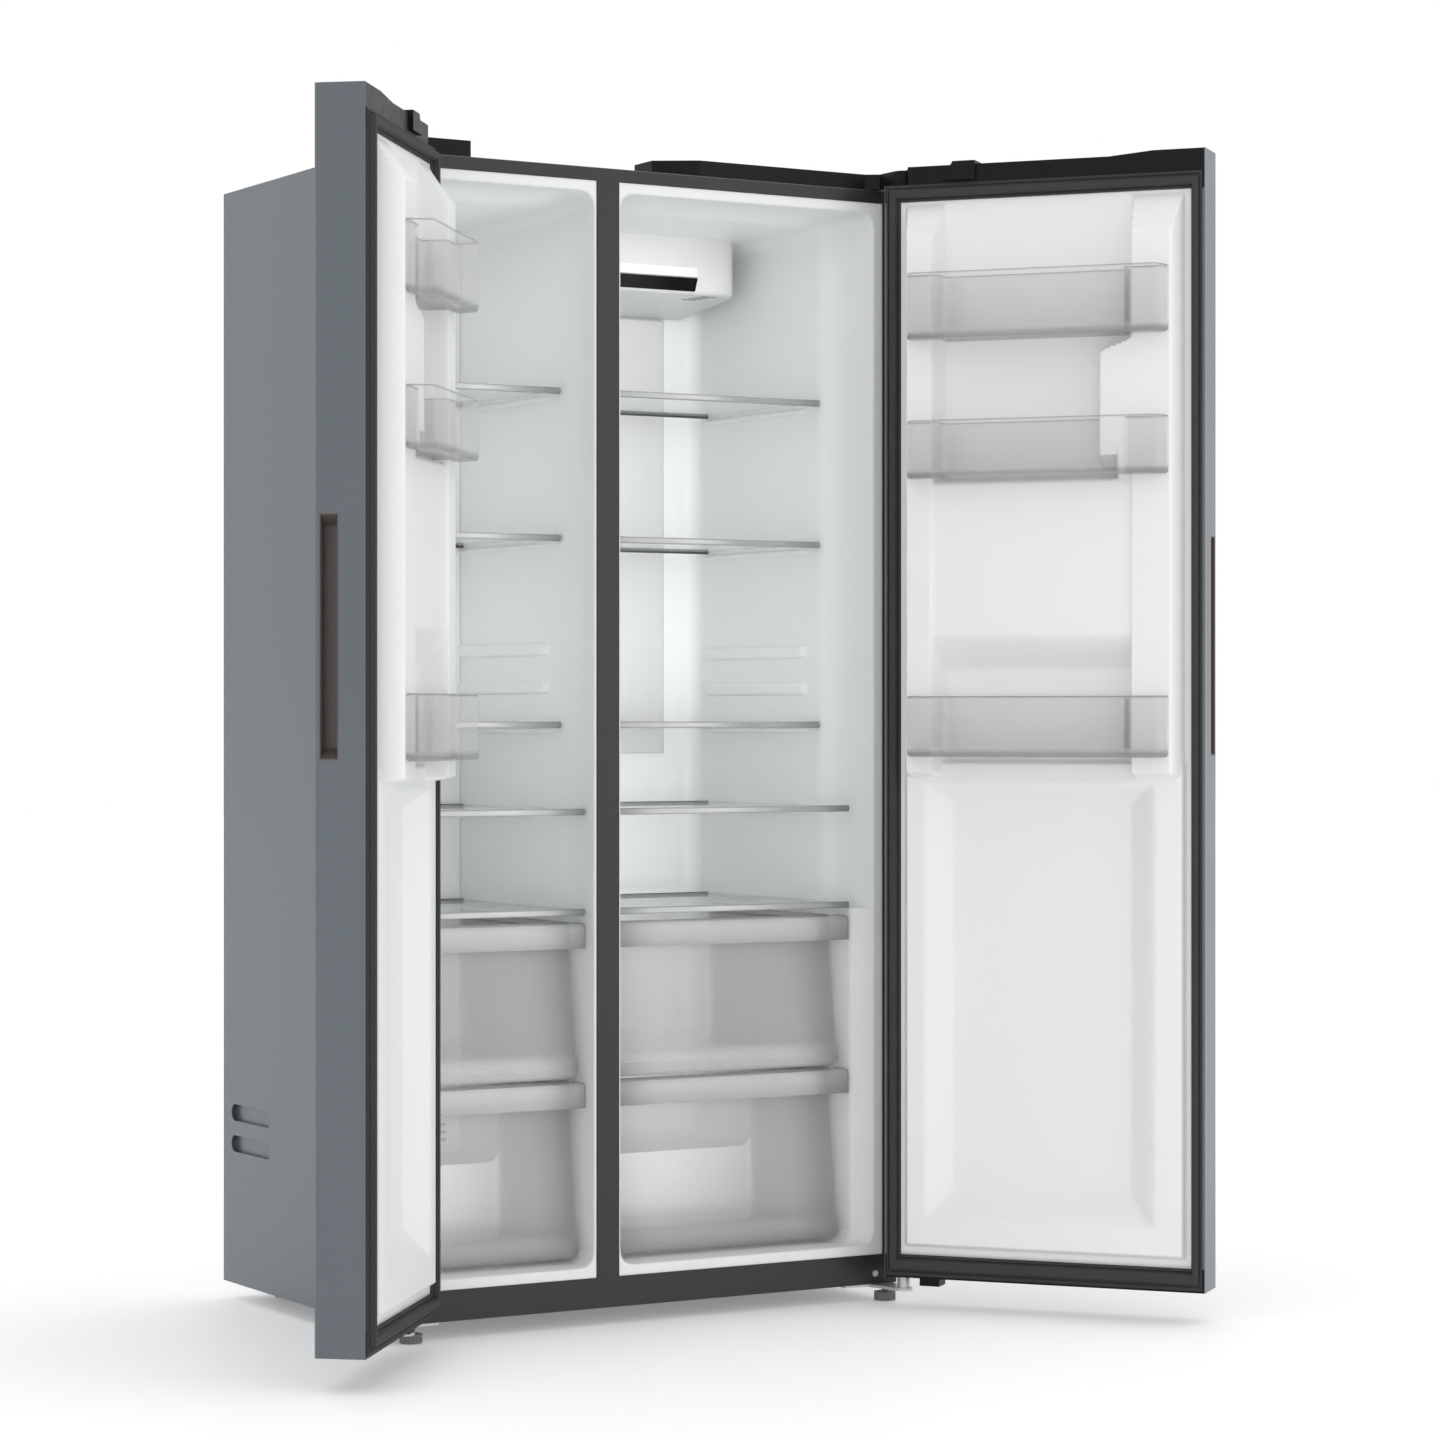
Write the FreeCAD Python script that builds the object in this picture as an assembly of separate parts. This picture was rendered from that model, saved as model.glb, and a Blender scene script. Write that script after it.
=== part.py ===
import FreeCAD, Part
import math
import os

# Side by side refrigerator: a foamed steel cabinet with a freezer on the left and a fridge on the
# right, two hinged doors, glass shelves, clear drawers and door bins. Millimetres, +Z up.
# X runs to the viewer's right, Y to the back. The doors rest wide open, and the origin is on the
# floor under the middle of the room the whole object then takes. Every size below is worked out
# from the middle of the front frame's foot, and save() moves each piece to the origin.

ORIGIN_X = 35.0             # origin, from the middle of the cabinet's width
ORIGIN_Y = 48.0             # origin, behind the front frame

# ---------------------------------------------------------------- cabinet
CASE_WIDTH = 908.0
CASE_DEPTH = 563.0
CASE_HEIGHT = 1725.0
FLOOR_GAP = 27.0            # floor to the underside of the case
CASE_SHEET = 1.0            # painted steel
BACK_SHEET = 1.2            # rear panel and machine cover
DECK_SHEET = 1.5            # base deck
SIDE_FLANGE = 25.0          # black frame at each side of the opening
TOP_BAR = 19.4
BOTTOM_BAR = 45.7
FRAME_SHEET = 1.5
FRAME_LIP = 12.0            # depth of the folded lips behind the frame
MULLION_X = -66.6           # centre of the post between the compartments
MULLION_WIDTH = 38.0
MACHINE_DEPTH = 216.0       # machine compartment, from the back
MACHINE_HEIGHT = 155.0
GRIP_LENGTH = 150.0         # pressed hand grips in the side panels
GRIP_HEIGHT = 26.0
GRIP_PRESS = 8.0
GRIP_FROM_BACK = 32.0
GRIP_LEVELS = (248.0, 297.0)
LUG_SHEET = 3.0             # roller lugs
LUG_HALF = 9.0
LUG_GAP = 5.0
ROLLER_CLEAR = 2.0
COVER_SLOTS = (7, 8)        # rows and columns in the machine cover
COVER_SLOT_PITCH = 14.0
COVER_SLOT_LOW = 30.0
COVER_SLOT_MARGIN = 54.0
SLOT_BRIDGE = 6.0           # metal left at each end of a slot
GLAND_X = 428.0             # grommet for the mains lead
GLAND_RISE = 110.0
GLAND_RADIUS = 9.0
GLAND_FLANGE = 3.0

# ---------------------------------------------------------------- liners
LINER = 1.6                 # vacuum-formed sheet
LINER_SETBACK = 2.0         # liner rim behind the frame's front face
RIM_OUTER = 16.0            # white rim beside the outer wall, top and bottom
RIM_MULLION = 4.0           # white rim beside the mullion
FLARE_DEPTH = 103.0         # the walls flare out in front of this depth
FLARE_OUTER = 35.0
FLARE_MULLION = 0.8
DRAFT_OUTER = 15.0          # taper of the walls behind the flare
DRAFT_MULLION = 6.8
CEILING_FLARE = 16.0
CEILING_DRAFT = 7.0
FLOOR_FLARE = 5.0
FLOOR_DRAFT = 2.0
LINER_CORNER = 24.0
BACK_BEVEL = 14.0           # rounding stand-in at the back wall's edge
FRIDGE_BACK_FOAM = 83.0     # fridge's back wall to the back of the case
FREEZER_BACK_FOAM = 67.0
HUMP_DEPTH = 255.0          # step in the floor over the machine compartment, from the back
HUMP_TOP = 192.0            # above the underside of the case
BEVEL_REACH = 27.0          # bevel beside the drawers, from the rim inward
BEVEL_DEPTH = 28.0
DRAWER_WALL_STEP = 1.0
RIB_REACH = 4.0
RIB_HEIGHT = 8.0
RIB_FRONT = 140.0
RIB_END_GAP = 40.0          # drawer rails start this far behind the flare's slope
SPARE_RIB_SHARES = (0.2235, 0.2875) # tops, as a share of the height above the drawer zone
SPARE_RIB_HEIGHT = 22.0
SEAT_GAP = 0.3              # under what rests on a rib or a lug
SIDE_GAP = 1.5              # between a loose piece and the wall beside it

# ---------------------------------------------------------------- shelves and drawers
GLASS = 4.0
SHELF_TRIM_DEPTH = 12.0
SHELF_TRIM_HEIGHT = 10.0
SHELF_REAR_DEPTH = 6.0
SHELF_BACK_GAP = 40.0       # shelf to the fridge's back wall
FREEZER_BACK_GAP = 66.0     # shelf to the freezer's back wall, behind the coil
UPPER_SHELF_FRONT = 103.0
LOWER_SHELF_FRONT = 26.0
FRONT_SPREAD = 7.5          # the low shelves widen this much toward the flared front
DRAWER_COVER_LEVEL = 593.0  # underside of the lowest shelf, above the case's underside
LOW_SHELF_RISE = 152.0      # to the next shelf up
SHELF_SHARES = (0.1432, 0.4546, 0.6999)  # of the height from there to the ceiling
DRAWER_WALL = 2.2
DRAWER_FLOORS = (71.0, 344.0)       # above the case's underside
DRAWER_TOPS = (339.0, 581.0)
DRAWER_ROUND = 16.0         # along the foot of the sides
DRAWER_LIP = 38.0           # height of the pull lip
DRAWER_LIP_FRONT = 26.0
LIP_SPREAD = 4.5            # the lip is wider than the tub, in the flared front
DRAWER_LIP_DEPTH = 38.0     # lip front to the wall behind it
DRAWER_LEAN = 30.0          # how far the front wall comes forward at its foot
DRAWER_SIDE_GAP = 6.0
DRAWER_RIM = 3.0
DRAWER_RAIL_DROP = 8.0      # rim below the drawer's top edge
UPPER_DRAWER_GAP = 52.0     # to the fridge's back wall
HUMP_GAP = 8.0

# ---------------------------------------------------------------- doors
DOOR_THICK = 72.0
DOOR_GAP = 14.0             # closed door to the frame, filled by the gasket
DOOR_INSET = 2.5            # door edge inside the case side
DOOR_LOW = 21.0             # door bottom above the case's underside
DOOR_OVER = 32.0            # door top above the case
DOOR_SPLIT_X = -61.0
DOOR_BETWEEN = 5.0
DOOR_SHEET = 1.0
DOOR_BEVEL = 3.0
DOOR_LIP = 14.0             # folded inner lip
HINGE_SIDE = 21.0           # hinge axis inside the case side
HINGE_Y = -53.0
LEFT_OPEN = 130.2           # degrees, at rest
RIGHT_OPEN = 128.7
CAP_WALL = 2.5
CAP_DROP = 6.5              # cap below the skin's top edge
CAP_TOP_BAND = 61.0         # cap height at the top of the door
CAP_LOW_BAND = 36.0
CAP_RISE_START = 150.0      # from the free edge
CAP_RISE_END = 80.0
PIVOT_BLOCK = 44.0
NOTCH_WIDTH = 37.5          # room for the hinge nose in the top corner
NOTCH_FLOOR = 2.0           # below the case top
NOTCH_SKIN = 12.0
WIRE_BLOCK = (112.0, 148.0)
WIRE_BLOCK_RISE = 5.0
PIN_RADIUS = 6.0
PIN_CLEAR = 0.05
PIN_DEPTH = 24.0

GASKET_BASE = 2.0
GASKET_REACH = 12.6         # sealing face from the door
GASKET_HINGE = (3.0, 27.0)  # band from the hinge edge
GASKET_FREE = (4.0, 21.0)   # band from the free edge
GASKET_BULB_HINGE = (9.5, 22.0)
GASKET_BULB_FREE = (5.0, 17.0)
GASKET_OVERLAP = 17.0       # how far the gasket lies over the frame bars

DIKE_HEIGHT = 44.0
DIKE_OUTER = (38.0, 50.0)   # base and crest, from the hinge edge
DIKE_INNER = (98.0, 90.0)
DIKE_FREE_OUTER = (31.0, 43.0)      # from the free edge
DIKE_FREE_INNER = (110.0, 102.0)
DIKE_SLOPE = 59.0
DIKE_TOP_DROP = 66.0        # below the door's top
PLATEAU_HEIGHT = 12.0
PLATEAU_EDGE = (36.0, 39.0)
PLATEAU_FREE_EDGE = (30.0, 33.0)
PLATEAU_LOW = 50.0          # above the door's bottom
PLATEAU_UNDER_BIN = 5.0
DISH_CREST = (70.0, 76.0, 45.0, 36.0)     # inside the panel: hinge side, free side, low, high
DISH_FLOOR = (107.0, 120.0, 93.0, 65.0)
DISH_DEPTH = 20.0
DIKE_UNDER_PANEL = 20.0

BIN_WALL = 2.2
BIN_BACK = 6.0
BIN_NECK_HINGE = 101.0
BIN_NECK_FREE = 113.0
BIN_WIDE = (50.0, 66.0)     # at the crest and at the front
BIN_WIDE_FREE = (43.0, 56.0)
BIN_FRONT = 83.0
BIN_SHARES = (0.467742, 0.714286, 0.837558)    # undersides, as a share of the door's height
BIN_HEIGHTS = (93.0, 88.0, 101.0)
BIN_LUG = 8.0
LUG_REACH = 30.0
LUG_UNDER_BIN = 14.0
LUG_IN_DIKE = 6.0

HANDLE_SHARE = 0.468894     # foot of the grip, as a share of the door's height
HANDLE_LENGTH = 336.0
HANDLE_BAND = (7.0, 34.0)   # from the door's front face
HANDLE_POCKET = 22.0
HANDLE_WALL = 1.8
HANDLE_END_BEVEL = 14.0

# ---------------------------------------------------------------- fittings
COVER_HEIGHT = 24.0
COVER_WALL = 2.0
COVER_DEPTH = 95.0
RIGHT_COVER_X = (32.0, 94.0, 368.0)
LEFT_COVER_END = 167.0      # from the left side
NOSE_RADIUS = 18.0
ARM_RADIUS = 14.0
ARM_SHEET = 4.0
LOWER_ARM = 4.5
FOOT_RADIUS = 17.0
FOOT_HEIGHT = 13.0
FOOT_X = (-395.0, 436.0)
FOOT_Y = 6.0
STUD_RADIUS = 5.0
ROLLER_RADIUS = 18.0
ROLLER_WIDTH = 18.0
ROLLER_X = 375.0
ROLLER_FROM_BACK = 48.0
AXLE_RADIUS = 4.0
SCREW_HEAD = 5.0
SCREW_RISE = 2.4
SHANK_RADIUS = 2.0
SHANK_LENGTH = 5.0
SLOT_HEIGHT = 5.0

HOUSING_DEPTH = 197.0       # control housing, from the fridge's back wall
HOUSING_DROP = 86.6         # from the fridge's ceiling to the foot of its face
HOUSING_DROP_BACK = 109.6
HOUSING_END = 34.0          # from the outer wall
HOUSING_CORNER = 26.0
HOUSING_CHAMFER = 0.3       # share of the corner taken by its middle point
HOUSING_WALL = 2.5
VENT_COUNT = 4
VENT_LENGTH = 20.0
VENT_WIDTH = 2.5
VENT_STEP = (7.0, 9.0)
VENT_START = (40.0, 14.0)   # from the housing's end and front
VENT_DEEP = (120.0, 70.0)   # below the ceiling
DISPLAY_HEIGHT = 22.0
DISPLAY_RISE = 3.0
DISPLAY_END = 83.0
DISPLAY_START = 32.0        # from the wall at the post
DISPLAY_SLANT = 5.0
DISPLAY_THICK = 2.0
LAMP_HEIGHT = 16.0
LAMP_THICK = 1.2
LAMP_GAP = 1.0
DUCT_PROUD = 10.0
DUCT_END = 62.0             # from the outer wall
DUCT_WALL = 2.5
DUCT_BELOW_SHELF = 42.0
DUCT_SLOT_MARGIN = (40.0, 80.0)
DUCT_SLOT_RISE = 40.0
VENT_PITCH = 12.0
COIL_PANEL = 2.0            # panel in front of the freezer's coil
COIL_PANEL_GAP = 8.0        # behind the shelves
COIL_PANEL_OVER = 9.0
COIL_SLOT_MARGIN = 20.0
COIL_SLOT_LOWS = (22.0, 60.0, 0.62)

# ---------------------------------------------------------------- machinery
EVAPORATOR_GAP = 50.0       # coil's front to the freezer's back wall
EVAPORATOR_DEPTH = 40.0
EVAPORATOR_RISE = (250.0, 480.0)
EVAPORATOR_MARGIN = 36.0
EVAPORATOR_FINS = (16, 6)   # fins and tubes
FIN_HALF = 0.6
TUBE_RADIUS = 4.0
TUBE_OVER = 12.0            # tubes beyond the outer fins
HEADER_HALF = (3.0, 5.0)
BRACKET = (14.0, 3.0)
FAN_RISE = 570.0
FAN_RADIUS = 46.0
FAN_BLADES = 6
ROTOR_THICK = 22.0
BLADE_RAKE = 24.0
MOTOR_RADIUS = 20.0
MOTOR_DEPTH = 16.0
SHAFT_LENGTH = 30.0
SHAFT_RADIUS = 2.5
COMPRESSOR_X = 255.0
COMPRESSOR_RADIUS = 74.0
COMPRESSOR_HEIGHT = 118.0
COMPRESSOR_RISE = 10.0
COMPRESSOR_PLATE = (95.0, 60.0, 3.0)
MOUNT_PLACES = (80.0, 48.0)
MOUNT_RADIUS = 11.0
TERMINAL_BOX = (22.0, 22.0, 30.0, 80.0)
CONDENSER_X = (-335.0, -140.0)
CONDENSER_HALF = 50.0
CONDENSER_HEIGHT = 120.0
CONDENSER_FINS = (18, 5)
ROTOR_X = -60.0
ROTOR_RADIUS = 54.0
ROTOR_BLADES = 5
ROTOR_RISE = 61.0
ROTOR_CLEAR = 3.0
SHROUD_AHEAD = 40.0
SHROUD_HALF = 62.0
PAN_X = (70.0, 102.0)       # from the rotor and from the compressor
PAN_HALF = 80.0
PAN_RISE = 26.0
PAN_HEIGHT = 36.0
PAN_WALL = 2.0
PAN_LEG = 6.0
BOARD_Y = (14.0, 84.0)
BOARD_THICK = 1.6
BOARD_RISE = 4.0
KNURL_COUNT = 20
KNURL_RADIUS = 1.2
DOOR_STOP = (52.0, 84.0, 48.0, 16.0, 14.0)  # under the door: u, u, depth, depth, drop

# ---------------------------------------------------------------- derived places
HALF = CASE_WIDTH / 2
CASE_LOW = FLOOR_GAP
CASE_TOP = FLOOR_GAP + CASE_HEIGHT
OPEN_LOW = CASE_LOW + BOTTOM_BAR
OPEN_TOP = CASE_TOP - TOP_BAR
OPEN_HALF = HALF - SIDE_FLANGE
POST_LEFT = MULLION_X - MULLION_WIDTH / 2
POST_RIGHT = MULLION_X + MULLION_WIDTH / 2
INSIDE = HALF - CASE_SHEET
BACK_IN = CASE_DEPTH - BACK_SHEET
MACHINE_FRONT = CASE_DEPTH - MACHINE_DEPTH
MACHINE_TOP = CASE_LOW + MACHINE_HEIGHT
HUMP_Z = CASE_LOW + HUMP_TOP
FRIDGE_BACK = CASE_DEPTH - FRIDGE_BACK_FOAM
FREEZER_BACK = CASE_DEPTH - FREEZER_BACK_FOAM
HUMP_FRONT = CASE_DEPTH - HUMP_DEPTH
SHELF_BACK = FRIDGE_BACK - SHELF_BACK_GAP
FREEZER_SHELF_BACK = FREEZER_BACK - FREEZER_BACK_GAP
UPPER_DRAWER_BACK = FRIDGE_BACK - UPPER_DRAWER_GAP
HOUSING_FRONT = FRIDGE_BACK - HOUSING_DEPTH
EVAPORATOR_FRONT = FREEZER_BACK - EVAPORATOR_GAP
EVAPORATOR_Z = tuple(CASE_LOW + rise for rise in EVAPORATOR_RISE)
FAN_Z = CASE_LOW + FAN_RISE
GLAND_Z = CASE_LOW + GLAND_RISE
COVER_SHELF_Z = CASE_LOW + DRAWER_COVER_LEVEL
LOW_SHELF_Z = COVER_SHELF_Z + LOW_SHELF_RISE
CEILING_Z = OPEN_TOP - RIM_OUTER - CEILING_FLARE - CEILING_DRAFT
FLOOR_Z = OPEN_LOW + RIM_OUTER
SHELF_SPAN = CEILING_Z - LOW_SHELF_Z
DOOR_BOTTOM = CASE_LOW + DOOR_LOW
DOOR_TOP = CASE_TOP + DOOR_OVER
DOOR_HEIGHT = DOOR_TOP - DOOR_BOTTOM
BIN_LEVELS = [
    (share * DOOR_HEIGHT, share * DOOR_HEIGHT + height)
    for share, height in zip(BIN_SHARES, BIN_HEIGHTS)
]
HANDLE_LOW = HANDLE_SHARE * DOOR_HEIGHT
PLATEAU_TOP = BIN_LEVELS[0][0] - PLATEAU_UNDER_BIN
DOOR_FACE_Y = -DOOR_GAP     # the door's inner face when closed
HINGE_X = HALF - HINGE_SIDE
DOOR_EDGE = HALF - DOOR_INSET
WIDTHS = {
    "freezer": DOOR_EDGE + DOOR_SPLIT_X - DOOR_BETWEEN / 2,
    "fridge": DOOR_EDGE - DOOR_SPLIT_X - DOOR_BETWEEN / 2,
}
SIGN = {"freezer": -1.0, "fridge": 1.0}
REST_TURN = {"freezer": -LEFT_OPEN, "fridge": RIGHT_OPEN}
BACKS = {"freezer": FREEZER_BACK, "fridge": FRIDGE_BACK}
SHELF_BACKS = {"freezer": FREEZER_SHELF_BACK, "fridge": SHELF_BACK}


# ---------------------------------------------------------------- helpers
def vec(x, y, z):
    return FreeCAD.Vector(x, y, z)


def box(x0, x1, y0, y1, z0, z1):
    """Box between two corners, in any order."""
    low = vec(min(x0, x1), min(y0, y1), min(z0, z1))
    return Part.makeBox(abs(x1 - x0), abs(y1 - y0), abs(z1 - z0), low)


def prism(points, path):
    """Closed outline of 3-D points pushed along a vector."""
    return Part.Face(Part.makePolygon(points + points[:1])).extrude(path)


def prism_z(outline, z0, z1):
    return prism([vec(x, y, z0) for x, y in outline], vec(0, 0, z1 - z0))


def prism_x(outline, x0, x1):
    return prism([vec(x0, y, z) for y, z in outline], vec(x1 - x0, 0, 0))


def prism_y(outline, y0, y1):
    return prism([vec(x, y0, z) for x, z in outline], vec(0, y1 - y0, 0))


def rod(centre, radius, length, axis):
    return Part.makeCylinder(radius, length, centre, axis)


def join(shapes):
    whole = shapes[0]
    if len(shapes) > 1:
        whole = whole.fuse(shapes[1:])
    return whole.removeSplitter()


def rounded_rect(x0, x1, z0, z1, y, radius):
    """Rectangle with round corners in the plane of constant y."""
    corners = [(x0, z0), (x1, z0), (x1, z1), (x0, z1)]
    centres = [
        (x0 + radius, z0 + radius),
        (x1 - radius, z0 + radius),
        (x1 - radius, z1 - radius),
        (x0 + radius, z1 - radius),
    ]
    edges = []
    for i, (corner, centre) in enumerate(zip(corners, centres)):
        after = corners[(i + 1) % 4]
        turn = math.radians(45 + 90 * (i + 2))
        along = i % 2 == 0
        start = vec(corner[0], y, centre[1]) if along else vec(centre[0], y, corner[1])
        end = vec(centre[0], y, corner[1]) if along else vec(corner[0], y, centre[1])
        middle = vec(
            centre[0] + radius * math.cos(turn), y, centre[1] + radius * math.sin(turn)
        )
        edges.append(Part.Arc(start, middle, end).toShape())
        centre_after = centres[(i + 1) % 4]
        if along:
            run_end = vec(centre_after[0], y, after[1])
        else:
            run_end = vec(after[0], y, centre_after[1])
        edges.append(Part.makeLine(end, run_end))
    return Part.Wire(edges)


def save(name, shape):
    """Write one node, as one solid or a group of separate solids, moved to the origin."""
    solids = shape.Solids
    out = solids[0] if len(solids) == 1 else Part.makeCompound(solids)
    out.translate(vec(-ORIGIN_X, -ORIGIN_Y, 0))
    out.exportStep("parts/" + name + ".step")


# ---------------------------------------------------------------- liners
def wall_outer(y):
    """Distance of the compartments' outer wall from the middle of the cabinet, at a depth."""
    rim = OPEN_HALF - RIM_OUTER
    if y <= FLARE_DEPTH:
        return rim - FLARE_OUTER * (y - LINER_SETBACK) / (FLARE_DEPTH - LINER_SETBACK)
    return rim - FLARE_OUTER - DRAFT_OUTER * (y - FLARE_DEPTH) / (FRIDGE_BACK - FLARE_DEPTH)


def wall_mullion(kind, y):
    """X of the compartment's wall beside the mullion, at a depth."""
    sign = SIGN[kind]
    post = POST_RIGHT if kind == "fridge" else POST_LEFT
    if y <= FLARE_DEPTH:
        lean = FLARE_MULLION * (y - LINER_SETBACK) / (FLARE_DEPTH - LINER_SETBACK)
    else:
        lean = FLARE_MULLION + DRAFT_MULLION * (y - FLARE_DEPTH) / (FRIDGE_BACK - FLARE_DEPTH)
    return post + sign * (RIM_MULLION + lean)


def walls(kind, y, gap=0.0):
    """Low and high X of the compartment at a depth, less a gap at each side."""
    outer = SIGN[kind] * (wall_outer(y) - gap)
    inner = wall_mullion(kind, y) + SIGN[kind] * gap
    return min(outer, inner), max(outer, inner)


def liner_loft(kind, grow):
    """The compartment's space, made larger all round by grow."""
    back = BACKS[kind]
    depths = (LINER_SETBACK, FLARE_DEPTH, back - BACK_BEVEL, back)
    lows = (0.0, FLOOR_FLARE, FLOOR_FLARE + FLOOR_DRAFT, FLOOR_FLARE + FLOOR_DRAFT + BACK_BEVEL)
    highs = (
        0.0,
        CEILING_FLARE,
        CEILING_FLARE + CEILING_DRAFT,
        CEILING_FLARE + CEILING_DRAFT + BACK_BEVEL,
    )
    wires = []
    for i, depth in enumerate(depths):
        inset = BACK_BEVEL if i == 3 else 0.0
        x0, x1 = walls(kind, depth, inset - grow)
        z0 = FLOOR_Z + lows[i] - grow
        z1 = OPEN_TOP - RIM_OUTER - highs[i] + grow
        y = depth + (grow if i == 3 else 0.0)
        wires.append(rounded_rect(x0, x1, z0, z1, y, LINER_CORNER + grow - inset / 2))
    return Part.makeLoft(wires, True, True)


def drawer_cheek(kind, grow):
    """The block beside the drawers that narrows the lower part of the compartment."""
    sign = SIGN[kind]
    back = BACKS[kind]
    step = DRAWER_WALL_STEP
    rim = OPEN_HALF - RIM_OUTER
    deep = LINER_SETBACK + BEVEL_DEPTH
    inner = [
        (rim + grow, LINER_SETBACK),
        (rim - BEVEL_REACH + grow, deep),
        (wall_outer(FLARE_DEPTH) - step + grow, FLARE_DEPTH),
        (wall_outer(back) - step + grow, back + 2 * LINER),
        (HALF, back + 2 * LINER),
        (HALF, LINER_SETBACK),
    ]
    outline = [(sign * x, y) for x, y in inner]
    return prism_z(outline, CASE_LOW, COVER_SHELF_Z - SEAT_GAP - grow)


def liner_space(kind, grow):
    """The usable space of a compartment, or with grow the room its liner takes in the foam."""
    hump = box(-HALF, HALF, HUMP_FRONT + grow, CASE_DEPTH, CASE_LOW, HUMP_Z - grow)
    return liner_loft(kind, grow).cut([hump, drawer_cheek(kind, grow)])


def shelf_levels():
    """Underside of each shelf, from the lowest up."""
    upper = [LOW_SHELF_Z + share * SHELF_SPAN for share in SHELF_SHARES]
    return [COVER_SHELF_Z, LOW_SHELF_Z] + upper


def shelf_front(index):
    return LOWER_SHELF_FRONT if index < 2 else UPPER_SHELF_FRONT


def rib(kind, front, back, top, height, step=0.0):
    """A pair of support ribs, one on each side wall, with their top at a level."""
    ribs = []
    for side in (0, 1):
        toward = 1.0 if side == 0 else -1.0
        outer_wall = (side == 1) == (kind == "fridge")
        inset = step if outer_wall else 0.0
        reach = RIB_REACH + inset
        root = LINER / 2 - inset
        near = walls(kind, front)[side]
        far = walls(kind, back)[side]
        outline = [
            (near - toward * root, front),
            (near + toward * reach, front + RIB_REACH),
            (far + toward * reach, back),
            (far - toward * root, back),
        ]
        ribs.append(prism_z(outline, top - height, top))
    return ribs


def liner(kind):
    """Vacuum-formed liner with its rim, ribs and the hump over the machine compartment."""
    space = liner_space(kind, 0.0)
    shell = liner_space(kind, LINER)
    post = POST_RIGHT if kind == "fridge" else POST_LEFT
    outer = SIGN[kind] * OPEN_HALF
    rim = box(post, outer, LINER_SETBACK, LINER_SETBACK + LINER, OPEN_LOW, OPEN_TOP)
    ribs = []
    back = SHELF_BACKS[kind]
    for i, level in enumerate(shelf_levels()):
        step = DRAWER_WALL_STEP if i == 0 else 0.0
        ribs += rib(kind, RIB_FRONT, back, level - SEAT_GAP, RIB_HEIGHT, step)
    for share in SPARE_RIB_SHARES:
        ribs += rib(kind, RIB_FRONT, back, LOW_SHELF_Z + share * SHELF_SPAN, SPARE_RIB_HEIGHT)
    for i, top in enumerate(DRAWER_TOPS):
        rail = CASE_LOW + top - DRAWER_RAIL_DROP - DRAWER_RIM - SEAT_GAP
        front = DRAWER_LIP_FRONT + DRAWER_LIP_DEPTH + RIB_REACH + RIB_END_GAP
        ribs += rib(kind, front, drawer_back(i), rail, RIB_HEIGHT, DRAWER_WALL_STEP)
    body = shell.cut(space)
    hollow = rim.cut(liner_loft(kind, 0.0))
    return join([body, hollow] + ribs)


# ---------------------------------------------------------------- cabinet shell
def grip(sign, level, grow, skin):
    """Obround pressing in a side panel, as a solid of the pressed room."""
    back = CASE_DEPTH - GRIP_FROM_BACK
    radius = GRIP_HEIGHT / 2 + grow
    front = back - GRIP_LENGTH
    x = sign * (HALF - skin)
    depth = GRIP_PRESS + grow - skin
    axis = vec(-sign, 0, 0)
    ends = [
        rod(vec(x, y, level), radius, depth, axis)
        for y in (front + GRIP_HEIGHT / 2, back - GRIP_HEIGHT / 2)
    ]
    middle = box(
        x,
        x - sign * depth,
        front + GRIP_HEIGHT / 2,
        back - GRIP_HEIGHT / 2,
        level - radius,
        level + radius,
    )
    return join(ends + [middle])


def grips(grow, skin):
    return [grip(sign, level, grow, skin) for sign in (-1, 1) for level in GRIP_LEVELS]


def outer_case():
    """Folded steel sides and top, with two pressed grips low in each side."""
    outside = box(-HALF, HALF, 0, CASE_DEPTH, CASE_LOW, CASE_TOP)
    room = box(-INSIDE, INSIDE, -1, CASE_DEPTH + 1, CASE_LOW - 1, CASE_TOP - CASE_SHEET)
    case = join([outside.cut(room)] + grips(CASE_SHEET, 0.0))
    return case.cut(grips(0.0, 0.0))


def base_deck():
    """Steel floor, stepped up over the machine compartment, with the roller lugs."""
    t = DECK_SHEET
    roller_y = CASE_DEPTH - ROLLER_FROM_BACK
    sheets = [
        box(-INSIDE, INSIDE, FRAME_SHEET, BACK_IN, CASE_LOW, CASE_LOW + t),
        box(-INSIDE, INSIDE, MACHINE_FRONT, MACHINE_FRONT + t, CASE_LOW, MACHINE_TOP),
        box(-INSIDE, INSIDE, MACHINE_FRONT, BACK_IN, MACHINE_TOP - t, MACHINE_TOP),
    ]
    slots = []
    for sign in (-1, 1):
        for offset in (-1, 1):
            x = sign * ROLLER_X + offset * (ROLLER_WIDTH / 2 + LUG_GAP)
            x0, x1 = x - LUG_SHEET / 2, x + LUG_SHEET / 2
            y0, y1 = roller_y - LUG_HALF, roller_y + LUG_HALF
            sheets.append(box(x0, x1, y0, y1, ROLLER_RADIUS - LUG_HALF + 1, CASE_LOW + t))
        slots.append(
            box(
                sign * ROLLER_X - ROLLER_WIDTH / 2 - ROLLER_CLEAR,
                sign * ROLLER_X + ROLLER_WIDTH / 2 + ROLLER_CLEAR,
                roller_y - ROLLER_RADIUS - ROLLER_CLEAR,
                roller_y + ROLLER_RADIUS + ROLLER_CLEAR,
                CASE_LOW - 1,
                CASE_LOW + t + 1,
            )
        )
    bore = rod(
        vec(-HALF, roller_y, ROLLER_RADIUS), AXLE_RADIUS + PIN_CLEAR, CASE_WIDTH, vec(1, 0, 0)
    )
    return join(sheets).cut(slots + [bore])


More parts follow.
